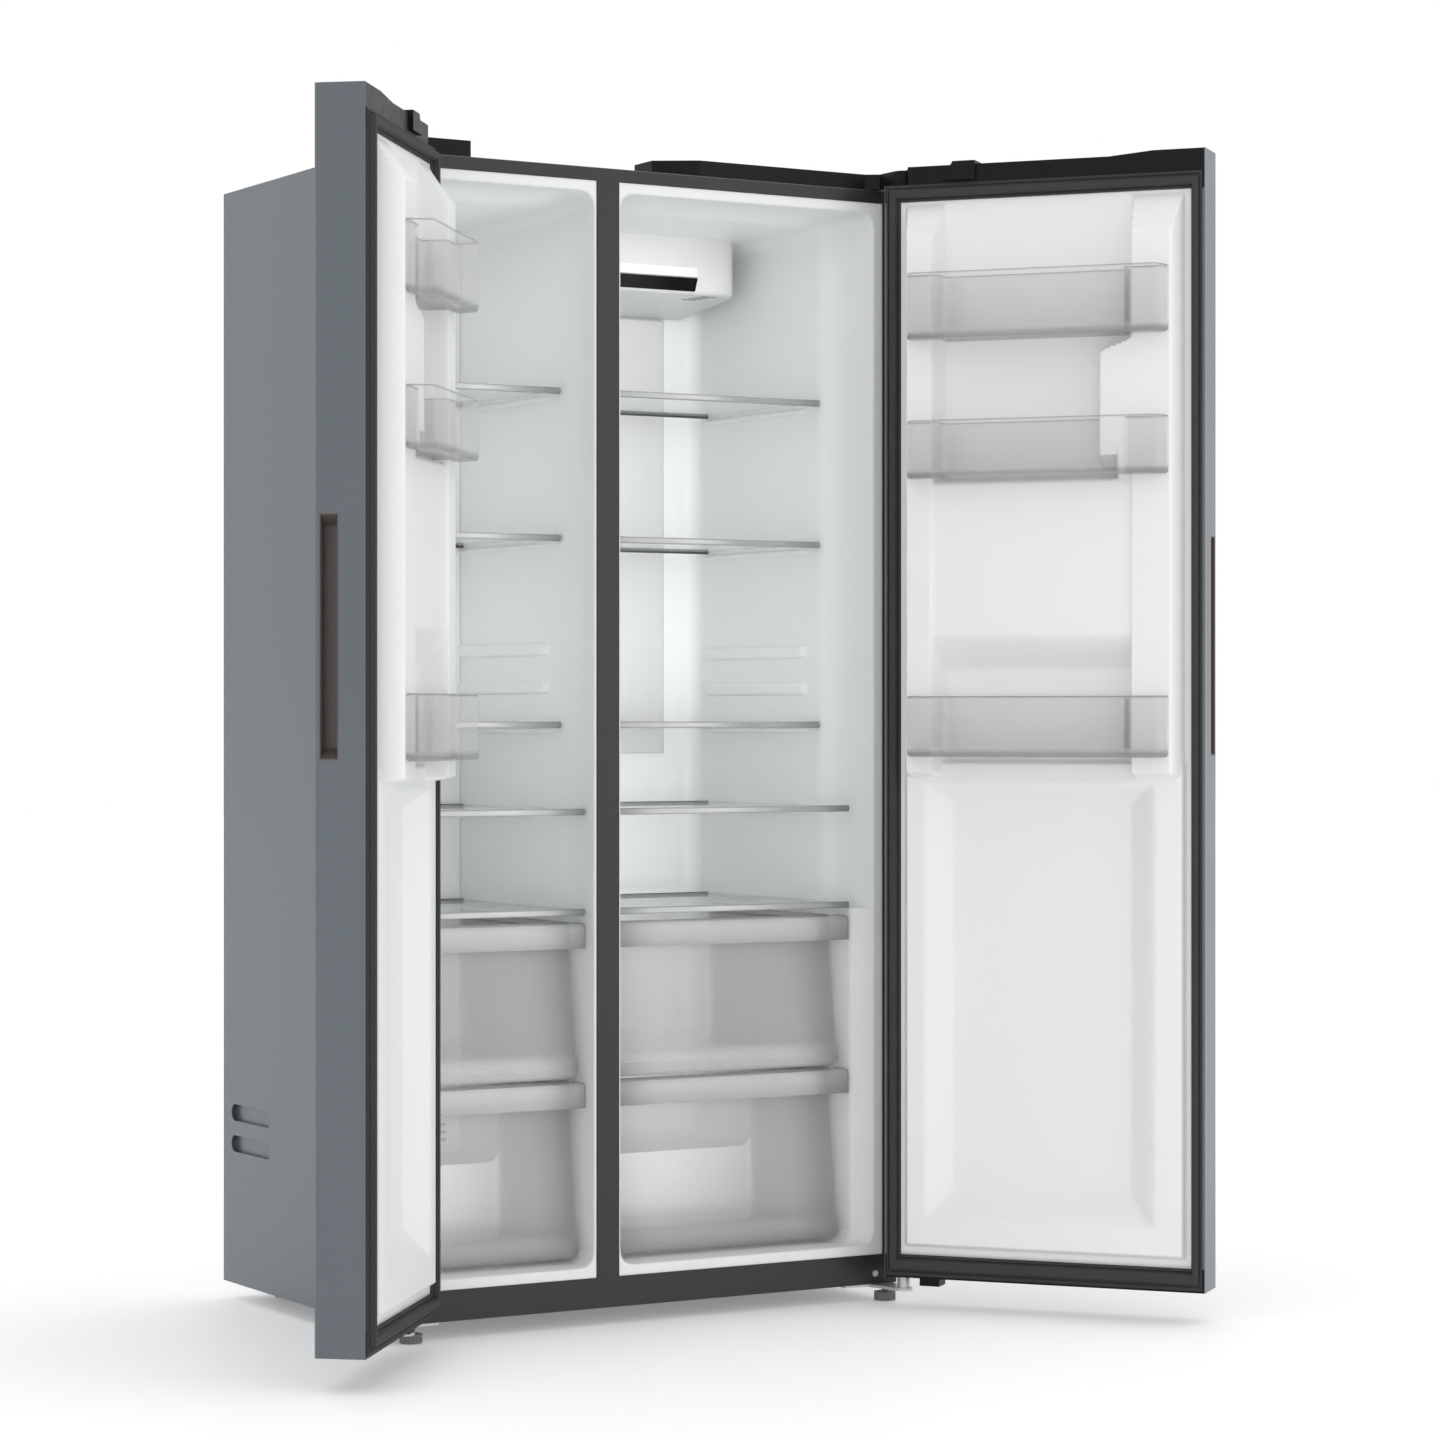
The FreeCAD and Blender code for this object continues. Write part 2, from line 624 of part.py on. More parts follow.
def cabinet_foam():
    """Insulation that fills the room between the case and the liners."""
    block = box(-INSIDE, INSIDE, FRAME_LIP, BACK_IN, CASE_LOW + DECK_SHEET, CASE_TOP - CASE_SHEET)
    machine = box(-HALF, HALF, MACHINE_FRONT, CASE_DEPTH, CASE_LOW, MACHINE_TOP)
    rooms = [liner_space(kind, LINER) for kind in SIGN]
    return block.cut([machine] + rooms + grips(CASE_SHEET, 0.0))


def front_frame():
    """Black face frame round the opening, with lips folded back."""
    plate = box(-INSIDE, INSIDE, 0, FRAME_SHEET, CASE_LOW, CASE_TOP - CASE_SHEET)
    lips = box(
        -OPEN_HALF - FRAME_SHEET,
        OPEN_HALF + FRAME_SHEET,
        0,
        FRAME_LIP,
        OPEN_LOW - FRAME_SHEET,
        OPEN_TOP + FRAME_SHEET,
    )
    opening = box(-OPEN_HALF, OPEN_HALF, -1, FRAME_LIP + 1, OPEN_LOW, OPEN_TOP)
    return join([plate, lips]).cut(opening)


def mullion_cover():
    """Black channel over the post between the compartments."""
    outside = box(POST_LEFT, POST_RIGHT, 0, FRAME_LIP, OPEN_LOW, OPEN_TOP)
    room = box(
        POST_LEFT + FRAME_SHEET,
        POST_RIGHT - FRAME_SHEET,
        FRAME_SHEET,
        FRAME_LIP + 1,
        OPEN_LOW - 1,
        OPEN_TOP + 1,
    )
    return outside.cut(room)


def rear_panel():
    return box(-INSIDE, INSIDE, BACK_IN, CASE_DEPTH, MACHINE_TOP - DECK_SHEET, CASE_TOP - CASE_SHEET)


def louvres(x0, x1, y0, y1, z0, rows, pitch, columns):
    """Rows of horizontal slots as cutting boxes."""
    width = (x1 - x0) / columns
    slots = []
    for row in range(rows):
        z = z0 + row * pitch
        for column in range(columns):
            start = x0 + column * width + SLOT_BRIDGE
            slots.append(box(start, start + width - 2 * SLOT_BRIDGE, y0, y1, z, z + SLOT_HEIGHT))
    return slots


def machine_cover():
    """Slotted cover over the machine compartment at the back, with the mains lead's grommet hole."""
    top = MACHINE_TOP - DECK_SHEET
    plate = box(-INSIDE, INSIDE, BACK_IN, CASE_DEPTH, CASE_LOW + 2, top - SEAT_GAP)
    half = HALF - COVER_SLOT_MARGIN
    rows, columns = COVER_SLOTS
    low = CASE_LOW + COVER_SLOT_LOW
    slots = louvres(-half, half, BACK_IN - 1, CASE_DEPTH + 1, low, rows, COVER_SLOT_PITCH, columns)
    hole = rod(vec(GLAND_X, BACK_IN - 1, GLAND_Z), GLAND_RADIUS, BACK_SHEET + 2, vec(0, 1, 0))
    return plate.cut(slots + [hole])


def cord_gland():
    """Rubber grommet in the machine cover."""
    axis = vec(0, 1, 0)
    f = GLAND_FLANGE
    body = rod(vec(GLAND_X, BACK_IN - f, GLAND_Z), GLAND_RADIUS, BACK_SHEET + 2 * f, axis)
    inside = rod(vec(GLAND_X, BACK_IN - f, GLAND_Z), GLAND_RADIUS + f, f, axis)
    outside = rod(vec(GLAND_X, CASE_DEPTH, GLAND_Z), GLAND_RADIUS + f, f, axis)
    hole = rod(vec(GLAND_X, BACK_IN - 3 * f, GLAND_Z), GLAND_RADIUS / 2, 8 * f, axis)
    return join([body, inside, outside]).cut(hole)


# ---------------------------------------------------------------- inside fittings
def evaporator_cover():
    """Panel that closes the freezer's back, with outlet and return slots."""
    front = FREEZER_SHELF_BACK + COIL_PANEL_GAP
    back = front + COIL_PANEL
    x0, x1 = walls("freezer", front, SEAT_GAP)
    panel = box(x0, x1, front, back, HUMP_Z + SEAT_GAP, CEILING_Z + COIL_PANEL_OVER)
    panel = panel.common(liner_space("freezer", -SEAT_GAP))
    slots = []
    x0 += COIL_SLOT_MARGIN
    x1 -= COIL_SLOT_MARGIN
    over_hump, over_shelf, share = COIL_SLOT_LOWS
    for low in (HUMP_Z + over_hump, LOW_SHELF_Z + over_shelf, LOW_SHELF_Z + share * SHELF_SPAN):
        slots += louvres(x0, x1, front - 1, back + 1, low, 3, VENT_PITCH, 3)
    return panel.cut(slots)


def finned_block(x0, x1, y0, y1, z0, z1, fins, tubes):
    """Upright fins on horizontal tubes."""
    step = (x1 - x0) / (fins - 1)
    pieces = [
        box(x0 + i * step - FIN_HALF, x0 + i * step + FIN_HALF, y0, y1, z0, z1)
        for i in range(fins)
    ]
    rise = (z1 - z0) / tubes
    middle = (y0 + y1) / 2
    for i in range(tubes):
        centre = vec(x0 - TUBE_OVER, middle, z0 + (i + 0.5) * rise)
        pieces.append(rod(centre, TUBE_RADIUS, x1 - x0 + 2 * TUBE_OVER, vec(1, 0, 0)))
    hx, hy = HEADER_HALF
    for end in (x0 - TUBE_OVER, x1 + TUBE_OVER):
        pieces.append(box(end - hx, end + hx, middle - hy, middle + hy, z0, z1))
    return join(pieces)


def freezer_middle():
    x0, x1 = walls("freezer", EVAPORATOR_FRONT)
    return (x0 + x1) / 2


def evaporator():
    """Cooling coil behind the freezer panel, and the fan motor above it."""
    x0, x1 = walls("freezer", EVAPORATOR_FRONT)
    margin = EVAPORATOR_MARGIN
    middle = freezer_middle()
    back = EVAPORATOR_FRONT + EVAPORATOR_DEPTH
    coil = finned_block(
        x0 + margin, x1 - margin, EVAPORATOR_FRONT, back, *EVAPORATOR_Z, *EVAPORATOR_FINS
    )
    wide, thick = BRACKET
    brackets = [
        box(x, x + wide, back - 2, FREEZER_BACK, z, z + thick)
        for x in (x0 + margin + wide, x1 - margin - 2 * wide)
        for z in (EVAPORATOR_Z[0] + 10 * thick, EVAPORATOR_Z[1] - 11 * thick)
    ]
    coil = join([coil] + brackets)
    axis = vec(0, 1, 0)
    motor = rod(vec(middle, FREEZER_BACK - MOTOR_DEPTH, FAN_Z), MOTOR_RADIUS, MOTOR_DEPTH, axis)
    shaft_y = FREEZER_BACK - MOTOR_DEPTH - SHAFT_LENGTH + 2
    shaft = rod(vec(middle, shaft_y, FAN_Z), SHAFT_RADIUS, SHAFT_LENGTH, axis)
    return Part.makeCompound([coil, join([motor, shaft])])


def fan_rotor(centre, axis, radius, thick, blades):
    """Hub with flat raked blades on a spindle along X or Y."""
    hub = Part.makeCylinder(radius * 0.28, thick, vec(0, 0, 0), vec(0, 0, 1))
    pieces = [hub]
    for i in range(blades):
        blade = box(radius * 0.2, radius, -radius * 0.22, radius * 0.22, thick / 2 - 1, thick / 2 + 1)
        blade.rotate(vec(0, 0, thick / 2), vec(1, 0, 0), BLADE_RAKE)
        blade.rotate(vec(0, 0, 0), vec(0, 0, 1), i * 360 / blades)
        pieces.append(blade)
    rotor = join(pieces)
    bore = Part.makeCylinder(SHAFT_RADIUS + PIN_CLEAR, thick - 3, vec(0, 0, 3), vec(0, 0, 1))
    rotor = rotor.cut(bore)
    turn = FreeCAD.Rotation(vec(0, 0, 1), axis)
    rotor.Placement = FreeCAD.Placement(centre, turn)
    return rotor


def evaporator_fan():
    front = FREEZER_BACK - MOTOR_DEPTH - SHAFT_LENGTH - 1.5
    centre = vec(freezer_middle(), front, FAN_Z)
    return fan_rotor(centre, vec(0, 1, 0), FAN_RADIUS, ROTOR_THICK, FAN_BLADES)


def housing_end():
    return wall_outer(HOUSING_FRONT) - HOUSING_END


def housing_solid(shrink):
    """Outer form of the control housing, made smaller all round by shrink."""
    x0 = MULLION_X
    end = housing_end() - shrink
    front = HOUSING_FRONT + shrink
    corner = HOUSING_CORNER
    back = FRIDGE_BACK + LINER
    plan = [
        (x0, front),
        (end - corner, front),
        (end - corner * HOUSING_CHAMFER, front + corner * HOUSING_CHAMFER),
        (end, front + corner),
        (end, back),
        (x0, back),
    ]
    side = [
        (front, CEILING_Z - HOUSING_DROP + shrink),
        (front, CASE_TOP),
        (back, CASE_TOP),
        (back, CEILING_Z - HOUSING_DROP_BACK + shrink),
    ]
    form = prism_z(plan, CASE_LOW, CASE_TOP).common(prism_x(side, -HALF, HALF))
    return form.common(liner_loft("fridge", -SEAT_GAP - shrink))


def control_housing():
    """Housing for the controls and lamp at the top of the fridge, open to the wall behind."""
    hollow = housing_solid(HOUSING_WALL)
    open_back = hollow.copy()
    open_back.translate(vec(0, 2 * HOUSING_WALL, 0))
    shell = housing_solid(0.0).cut([hollow, open_back])
    end = housing_end()
    vents = []
    deep, shallow = VENT_DEEP
    for i in range(VENT_COUNT):
        x = end - VENT_START[0] - VENT_STEP[0] * i
        y = HOUSING_FRONT + VENT_START[1] + VENT_STEP[1] * i
        vent = box(x - VENT_LENGTH, x, y, y + VENT_WIDTH, CEILING_Z - deep, CEILING_Z - shallow)
        vents.append(vent)
    return shell.cut(vents)


def display_panel():
    """Black display strip and the lamp lens above it."""
    x0 = walls("fridge", FRIDGE_BACK)[0] + DISPLAY_START
    x1 = housing_end() - DISPLAY_END
    low = CEILING_Z - HOUSING_DROP + DISPLAY_RISE
    top = low + DISPLAY_HEIGHT
    front = HOUSING_FRONT
    outline = [(x0, low), (x1 - DISPLAY_SLANT, low), (x1, top), (x0, top)]
    strip = prism_y(outline, front - DISPLAY_THICK, front)
    lamp_low = top + LAMP_GAP
    lens = box(x0, x1, front - LAMP_THICK, front, lamp_low, lamp_low + LAMP_HEIGHT)
    return Part.makeCompound([strip, lens])


def air_duct():
    """Shallow cover over the cold air channel on the fridge's back wall."""
    wall_y = FRIDGE_BACK
    x0 = walls("fridge", wall_y, BACK_BEVEL + 1)[0]
    x1 = walls("fridge", wall_y)[1] - DUCT_END
    front = wall_y - DUCT_PROUD
    low = shelf_levels()[2] - DUCT_BELOW_SHELF
    top = CEILING_Z - HOUSING_DROP_BACK - 2
    slope = DUCT_PROUD / 2
    plan = [(x0, wall_y), (x0, front), (x1 - slope, front), (x1, front + slope), (x1, wall_y)]
    cover = prism_z(plan, low, top)
    w = DUCT_WALL
    room = box(x0 + w, x1 - slope - w, front + w, wall_y + 1, low + w, top - w)
    slots = []
    a = x0 + DUCT_SLOT_MARGIN[0]
    b = x1 - DUCT_SLOT_MARGIN[1]
    for level in shelf_levels()[2:]:
        slots += louvres(a, b, front - 1, front + w + 1, level + DUCT_SLOT_RISE, 2, VENT_PITCH, 3)
    return cover.cut([room] + slots)


# ---------------------------------------------------------------- machine compartment
def machine_middle():
    return MACHINE_FRONT + MACHINE_DEPTH / 2


def compressor():
    """Sealed can on a steel foot plate and four rubber mounts."""
    x = COMPRESSOR_X
    y = machine_middle()
    floor = CASE_LOW + DECK_SHEET
    low = floor + COMPRESSOR_RISE
    r = COMPRESSOR_RADIUS
    h = COMPRESSOR_HEIGHT
    up = vec(0, 0, 1)
    can = rod(vec(x, y, low + 2), r, h - 2, up)
    can = can.makeFillet(h * 0.3, [e for e in can.Edges if e.CenterOfMass.z > low + h - 1])
    can = can.makeFillet(h * 0.12, [e for e in can.Edges if e.CenterOfMass.z < low + 3])
    half_x, half_y, thick = COMPRESSOR_PLATE
    pieces = [can, box(x - half_x, x + half_x, y - half_y, y + half_y, low, low + thick)]
    dx, dy = MOUNT_PLACES
    for place in ((-dx, -dy), (dx, -dy), (-dx, dy), (dx, dy)):
        centre = vec(x + place[0], y + place[1], floor)
        pieces.append(rod(centre, MOUNT_RADIUS, COMPRESSOR_RISE, up))
    reach, half, z0, z1 = TERMINAL_BOX
    pieces.append(box(x + r - 6, x + r + reach, y - half, y + half, low + z0, low + z1))
    return join(pieces)


def condenser():
    """Hot coil, and the shroud with the motor that drives its fan."""
    y = machine_middle()
    floor = CASE_LOW + DECK_SHEET
    half = CONDENSER_HALF
    top = floor + CONDENSER_HEIGHT
    coil = finned_block(*CONDENSER_X, y - half, y + half, floor, top, *CONDENSER_FINS)
    axis = vec(1, 0, 0)
    centre_z = floor + ROTOR_RISE
    x = ROTOR_X - SHROUD_AHEAD
    shroud = box(x, x + 3, y - SHROUD_HALF, y + SHROUD_HALF, floor, floor + 2 * ROTOR_RISE)
    mouth = rod(vec(x - 1, y, centre_z), ROTOR_RADIUS + ROTOR_CLEAR, 5, axis)
    motor_x = ROTOR_X + ROTOR_THICK
    r = MOTOR_RADIUS
    stand = box(motor_x + 6, motor_x + 10, y - r, y + r, floor, centre_z)
    motor = rod(vec(motor_x, y, centre_z), r + 2, MOTOR_DEPTH + 10, axis)
    shaft = rod(vec(motor_x + 3 - SHAFT_LENGTH, y, centre_z), SHAFT_RADIUS, SHAFT_LENGTH - 2, axis)
    return Part.makeCompound([coil, shroud.cut(mouth), join([motor, stand, shaft])])


def condenser_fan():
    x = ROTOR_X + ROTOR_THICK - SHAFT_LENGTH - 1.5
    centre = vec(x, machine_middle(), CASE_LOW + DECK_SHEET + ROTOR_RISE)
    return fan_rotor(centre, vec(1, 0, 0), ROTOR_RADIUS, ROTOR_THICK, ROTOR_BLADES)


def drain_pan():
    """Shallow tray on legs between the fan and the compressor, where defrost water dries off."""
    y = machine_middle()
    floor = CASE_LOW + DECK_SHEET
    x0 = ROTOR_X + PAN_X[0]
    x1 = COMPRESSOR_X - PAN_X[1]
    y0 = y - PAN_HALF
    y1 = y + PAN_HALF
    z0 = floor + PAN_RISE
    z1 = z0 + PAN_HEIGHT
    w = PAN_WALL
    room = box(x0 + w, x1 - w, y0 + w, y1 - w, z0 + w, z1 + 1)
    leg = PAN_LEG
    legs = [
        box(x, x + leg, leg_y, leg_y + leg, floor, z0 + 1)
        for x in (x0 + leg, x1 - 2 * leg)
        for leg_y in (y0 + leg, y1 - 2 * leg)
    ]
    return join([box(x0, x1, y0, y1, z0, z1).cut(room)] + legs)


# ---------------------------------------------------------------- hinges, covers, feet
def nose_outline(sign, radius, root, flank):
    """Plan outline of a hinge nose: from the case top forward and round the pin."""
    x = sign * HINGE_X
    points = [(sign * root[0], root[1])] + [(sign * px, py) for px, py in flank]
    steps = 8
    for i in range(steps + 1):
        turn = math.pi + math.pi * i / steps
        points.append((x + sign * radius * math.cos(turn), HINGE_Y + radius * math.sin(turn)))
    return points


def upper_hinge(sign):
    """Arm on the case top that reaches over the door's corner, with its pin."""
    outline = nose_outline(sign, ARM_RADIUS, (HINGE_X - ARM_RADIUS, 78), [])
    outline.append((sign * (HINGE_X + ARM_RADIUS), 78))
    arm = prism_z(outline, CASE_TOP, CASE_TOP + ARM_SHEET)
    pin = rod(
        vec(sign * HINGE_X, HINGE_Y, CASE_TOP - NOTCH_FLOOR - PIN_DEPTH),
        PIN_RADIUS,
        PIN_DEPTH + NOTCH_FLOOR + 1,
        vec(0, 0, 1),
    )
    return join([arm, pin])


def lower_hinge(sign, foot_x):
    """Bracket under the case with the lower pin, its thrust collar and the foot's hole."""
    z1 = CASE_LOW
    z0 = z1 - LOWER_ARM
    reach = min(abs(foot_x) - FOOT_RADIUS, HINGE_X - 40) - 30
    outline = nose_outline(sign, ARM_RADIUS, (reach, 60), [(reach, 8), (HINGE_X - 30, 2)])
    outline += [(sign * (HINGE_X + ARM_RADIUS), 2), (sign * (HALF - 3), 8), (sign * (HALF - 3), 60)]
    plate = prism_z(outline, z0, z1)
    centre = vec(sign * HINGE_X, HINGE_Y, z0)
    collar = rod(centre, PIN_RADIUS + 4, DOOR_BOTTOM - SEAT_GAP - z0, vec(0, 0, 1))
    pin = rod(centre, PIN_RADIUS, DOOR_BOTTOM + PIN_DEPTH - z0, vec(0, 0, 1))
    hole = rod(vec(foot_x, FOOT_Y, z0 - 1), STUD_RADIUS + PIN_CLEAR, LOWER_ARM + 2, vec(0, 0, 1))
    return join([plate, collar, pin]).cut(hole)


def hinge_brackets():
    """The four steel hinge pieces."""
    pieces = [upper_hinge(-1), upper_hinge(1), lower_hinge(-1, FOOT_X[0]), lower_hinge(1, FOOT_X[1])]
    return Part.makeCompound(pieces)


def cover_shell(outline, inner, sign):
    """Hollow cover on the case top, open below."""
    body = prism_z(outline, CASE_TOP, CASE_TOP + COVER_HEIGHT)
    room = prism_z(inner, CASE_TOP - 1, CASE_TOP + COVER_HEIGHT - COVER_WALL)
    return body.cut(room)


def hinge_cover(sign, inner_x, slant_x):
    """Black cover over a hinge arm; its inner end slants back."""
    outlines = []
    for shrink in (0.0, COVER_WALL):
        radius = NOSE_RADIUS - shrink
        side = HINGE_X + radius
        flank = [(HINGE_X - 38 + shrink, 1 + shrink), (HINGE_X - radius, -DOOR_GAP + 2 + shrink)]
        root = (HINGE_X - 65 + shrink, 1 + shrink)
        outline = nose_outline(sign, radius, root, flank)
        outline += [
            (sign * side, COVER_DEPTH - shrink),
            (inner_x + sign * shrink, COVER_DEPTH - shrink),
            (inner_x + sign * shrink, 40 + shrink),
            (slant_x + sign * shrink, 1 + shrink),
        ]
        outlines.append(outline)
    return cover_shell(outlines[0], outlines[1], sign)


def control_board():
    """Circuit board with its larger parts, under the right hinge cover."""
    x0 = RIGHT_COVER_X[1] + 20
    x1 = RIGHT_COVER_X[2] - 60
    base = CASE_TOP
    face = base + BOARD_RISE
    y0, y1 = BOARD_Y
    pieces = [box(x0, x1, y0, y1, face, face + BOARD_THICK)]
    for x in (x0 + 8, x1 - 14):
        for y in (y0 + 4, y1 - 10):
            pieces.append(box(x, x + 6, y, y + 6, base, face + 0.5))
    pieces.append(box(x0 + 20, x0 + 56, 24, 60, base + 5, base + 19))
    pieces.append(box(x0 + 80, x0 + 104, 24, 48, base + 5, base + 15))
    pieces.append(box(x1 - 50, x1 - 16, 30, 70, base + 5, base + 13))
    return join(pieces)


def screw(x, y, z, axis):
    """Round-headed screw seated at a point, its shank going back into the piece."""
    head = rod(vec(x, y, z), SCREW_HEAD, SCREW_RISE, axis)
    shank = rod(vec(x, y, z) - axis * SHANK_LENGTH, SHANK_RADIUS, SHANK_LENGTH + 1, axis)
    return join([head, shank])


def screws():
    """Hinge, frame and machine cover screws, as a group."""
    up = vec(0, 0, 1)
    back = vec(0, 1, 0)
    front = vec(0, -1, 0)
    group = []
    for sign in (-1, 1):
        for y in (22, 58):
            group.append(screw(sign * HINGE_X, y, CASE_TOP + ARM_SHEET, up))
        group.append(screw(sign * (HALF - 41), 0, CASE_LOW + 16.6, front))
        for x in (120, 330):
            group.append(screw(sign * x, CASE_DEPTH, MACHINE_TOP - 12, back))
            group.append(screw(sign * x, CASE_DEPTH, CASE_LOW + 12, back))
    return Part.makeCompound(group)


def foot(x):
    """Knurled levelling foot on its threaded stud."""
    disc = rod(vec(x, FOOT_Y, 0), FOOT_RADIUS, FOOT_HEIGHT, vec(0, 0, 1))
    grooves = []
    for i in range(KNURL_COUNT):
        turn = 2 * math.pi * i / KNURL_COUNT
        centre = vec(x + FOOT_RADIUS * math.cos(turn), FOOT_Y + FOOT_RADIUS * math.sin(turn), 3)
        grooves.append(rod(centre, KNURL_RADIUS, FOOT_HEIGHT - 4.5, vec(0, 0, 1)))
    stud = rod(
        vec(x, FOOT_Y, FOOT_HEIGHT - 1), STUD_RADIUS, CASE_LOW - 0.6 - FOOT_HEIGHT + 1, vec(0, 0, 1)
    )
    return join([disc.cut(grooves), stud])


def rear_rollers():
    """Two rollers fixed on one axle rod."""
    y = CASE_DEPTH - ROLLER_FROM_BACK
    axis = vec(1, 0, 0)
    length = 2 * (ROLLER_X + ROLLER_WIDTH / 2 + 9)
    pieces = [rod(vec(-length / 2, y, ROLLER_RADIUS), AXLE_RADIUS, length, axis)]
    for sign in (-1, 1):
        start = sign * ROLLER_X - ROLLER_WIDTH / 2
        pieces.append(rod(vec(start, y, ROLLER_RADIUS), ROLLER_RADIUS, ROLLER_WIDTH, axis))
    return join(pieces)


# ---------------------------------------------------------------- shelves and drawers
def shelf_slab(kind, y0, y1, z0, z1):
    """Flat piece of a shelf between two depths that follows the walls, straight in the flare."""
    stations = [y0] + [y for y in (FLARE_DEPTH,) if y0 < y < y1] + [y1]
    lefts = []
    rights = []
    for y in stations:
        a, b = walls(kind, max(y, FLARE_DEPTH), SIDE_GAP)
        spread = FRONT_SPREAD * max(0.0, FLARE_DEPTH - y) / (FLARE_DEPTH - LOWER_SHELF_FRONT)
        lefts.append((a - spread * (kind == "freezer"), y))
        rights.append((b + spread * (kind == "fridge"), y))
    return prism_z(lefts + rights[::-1], z0, z1)


def shelf(kind, index):
    """Glass pane with a bright front trim and a dark rear trim."""
    low = shelf_levels()[index]
    front = shelf_front(index)
    back = SHELF_BACKS[kind]
    glass_front = front + SHELF_TRIM_DEPTH
    glass_back = back - SHELF_REAR_DEPTH
    top = low + SHELF_TRIM_HEIGHT

    trim = shelf_slab(kind, front, glass_front, low, top)
    pane = shelf_slab(kind, glass_front, glass_back, top - GLASS - 1, top - 1)
    rear = shelf_slab(kind, glass_back, back, low + 2, top)
    return Part.makeCompound([trim, pane, rear])


def drawer_back(index):
    return HUMP_FRONT - HUMP_GAP if index == 0 else UPPER_DRAWER_BACK


def drawer_space(kind, index, shrink):
    """Tub of a drawer: wedge with a front that leans forward at its foot."""
    back = drawer_back(index) - shrink
    low = CASE_LOW + DRAWER_FLOORS[index] + shrink
    top = CASE_LOW + DRAWER_TOPS[index]
    front_top = DRAWER_LIP_FRONT + DRAWER_LIP_DEPTH + shrink
    front_low = front_top - DRAWER_LEAN
    side = [(front_low, low), (back, low), (back, top), (front_top, top)]
    gap = DRAWER_SIDE_GAP + shrink
    a0, b0 = walls(kind, FLARE_DEPTH, gap)
    a1, b1 = walls(kind, back, gap)
    plan = [(a0, 0), (b0, 0), (b0, FLARE_DEPTH), (b1, back + 1), (a1, back + 1), (a0, FLARE_DEPTH)]
    form = prism_x(side, -HALF, HALF).common(prism_z(plan, CASE_LOW, CASE_TOP))
    foot = [
        e
        for e in form.Edges
        if e.BoundBox.ZMax < low + 1 and e.BoundBox.YLength > e.BoundBox.XLength
    ]
    return form.makeFillet(DRAWER_ROUND - shrink, foot)


def drawer(kind, index):
    """Clear drawer with a pull lip in front and a rim that runs on the liner's rails."""
    top = CASE_LOW + DRAWER_TOPS[index]
    tub = drawer_space(kind, index, 0.0)
    room = drawer_space(kind, index, DRAWER_WALL)
    back = drawer_back(index)
    lip_x = list(walls(kind, FLARE_DEPTH, SIDE_GAP))
    lip_x[1 if kind == "fridge" else 0] += SIGN[kind] * LIP_SPREAD
    y0 = DRAWER_LIP_FRONT
    lip = box(lip_x[0], lip_x[1], y0, y0 + DRAWER_WALL, top - DRAWER_LIP, top)
    bridge = box(lip_x[0], lip_x[1], y0, y0 + DRAWER_LIP_DEPTH + DRAWER_WALL, top - DRAWER_WALL, top)
    rim_top = top - DRAWER_RAIL_DROP
    rims = []
    for side in (0, 1):
        toward = 1.0 if side == 0 else -1.0
        rail = RIB_REACH + DRAWER_WALL_STEP
        outer0 = walls(kind, FLARE_DEPTH)[side] + toward * (DRAWER_WALL_STEP + SIDE_GAP)
        outer1 = walls(kind, back)[side] + toward * (DRAWER_WALL_STEP + SIDE_GAP)
        outline = [
            (outer0, FLARE_DEPTH),
            (outer0 + toward * rail, FLARE_DEPTH),
            (outer1 + toward * rail, back),
            (outer1, back),
        ]
        rims.append(prism_z(outline, rim_top - DRAWER_RIM, rim_top))
    whole = join([tub, lip, bridge] + rims)
    return whole.cut(room)


# ---------------------------------------------------------------- doors
def door_x(kind, u):
    """World X of a distance from the door's hinge edge, door closed."""
    return SIGN[kind] * (DOOR_EDGE - u)


def door_box(kind, u0, u1, h0, h1, z0, z1):
    """Box in the door's own measures: u from the hinge edge, h inward from the inner face."""
    return box(
        door_x(kind, u0), door_x(kind, u1), DOOR_FACE_Y + h0, DOOR_FACE_Y + h1, z0, z1
    )


def door_prism(kind, outline, z0, z1):
    return prism_z([(door_x(kind, u), DOOR_FACE_Y + h) for u, h in outline], z0, z1)


def door_side_prism(kind, outline, u0, u1):
    """Outline of (h, z) pushed along the door's width."""
    return prism_x([(DOOR_FACE_Y + h, z) for h, z in outline], door_x(kind, u0), door_x(kind, u1))


def frustum(kind, low, high, h0, h1):
    """Block between two upright rectangles (u0, u1, z0, z1) at two distances from the door."""
    wires = []
    for (u0, u1, z0, z1), h in ((low, h0), (high, h1)):
        y = DOOR_FACE_Y + h
        corners = [
            vec(door_x(kind, u0), y, z0),
            vec(door_x(kind, u1), y, z0),
            vec(door_x(kind, u1), y, z1),
            vec(door_x(kind, u0), y, z1),
        ]
        wires.append(Part.makePolygon(corners + corners[:1]))
    return Part.makeLoft(wires, True, True)


def opened(kind, shape):
    """Turn a piece of a closed door to where the door rests."""
    shape = shape.copy()
    shape.rotate(vec(SIGN[kind] * HINGE_X, HINGE_Y, 0), vec(0, 0, 1), REST_TURN[kind])
    return shape


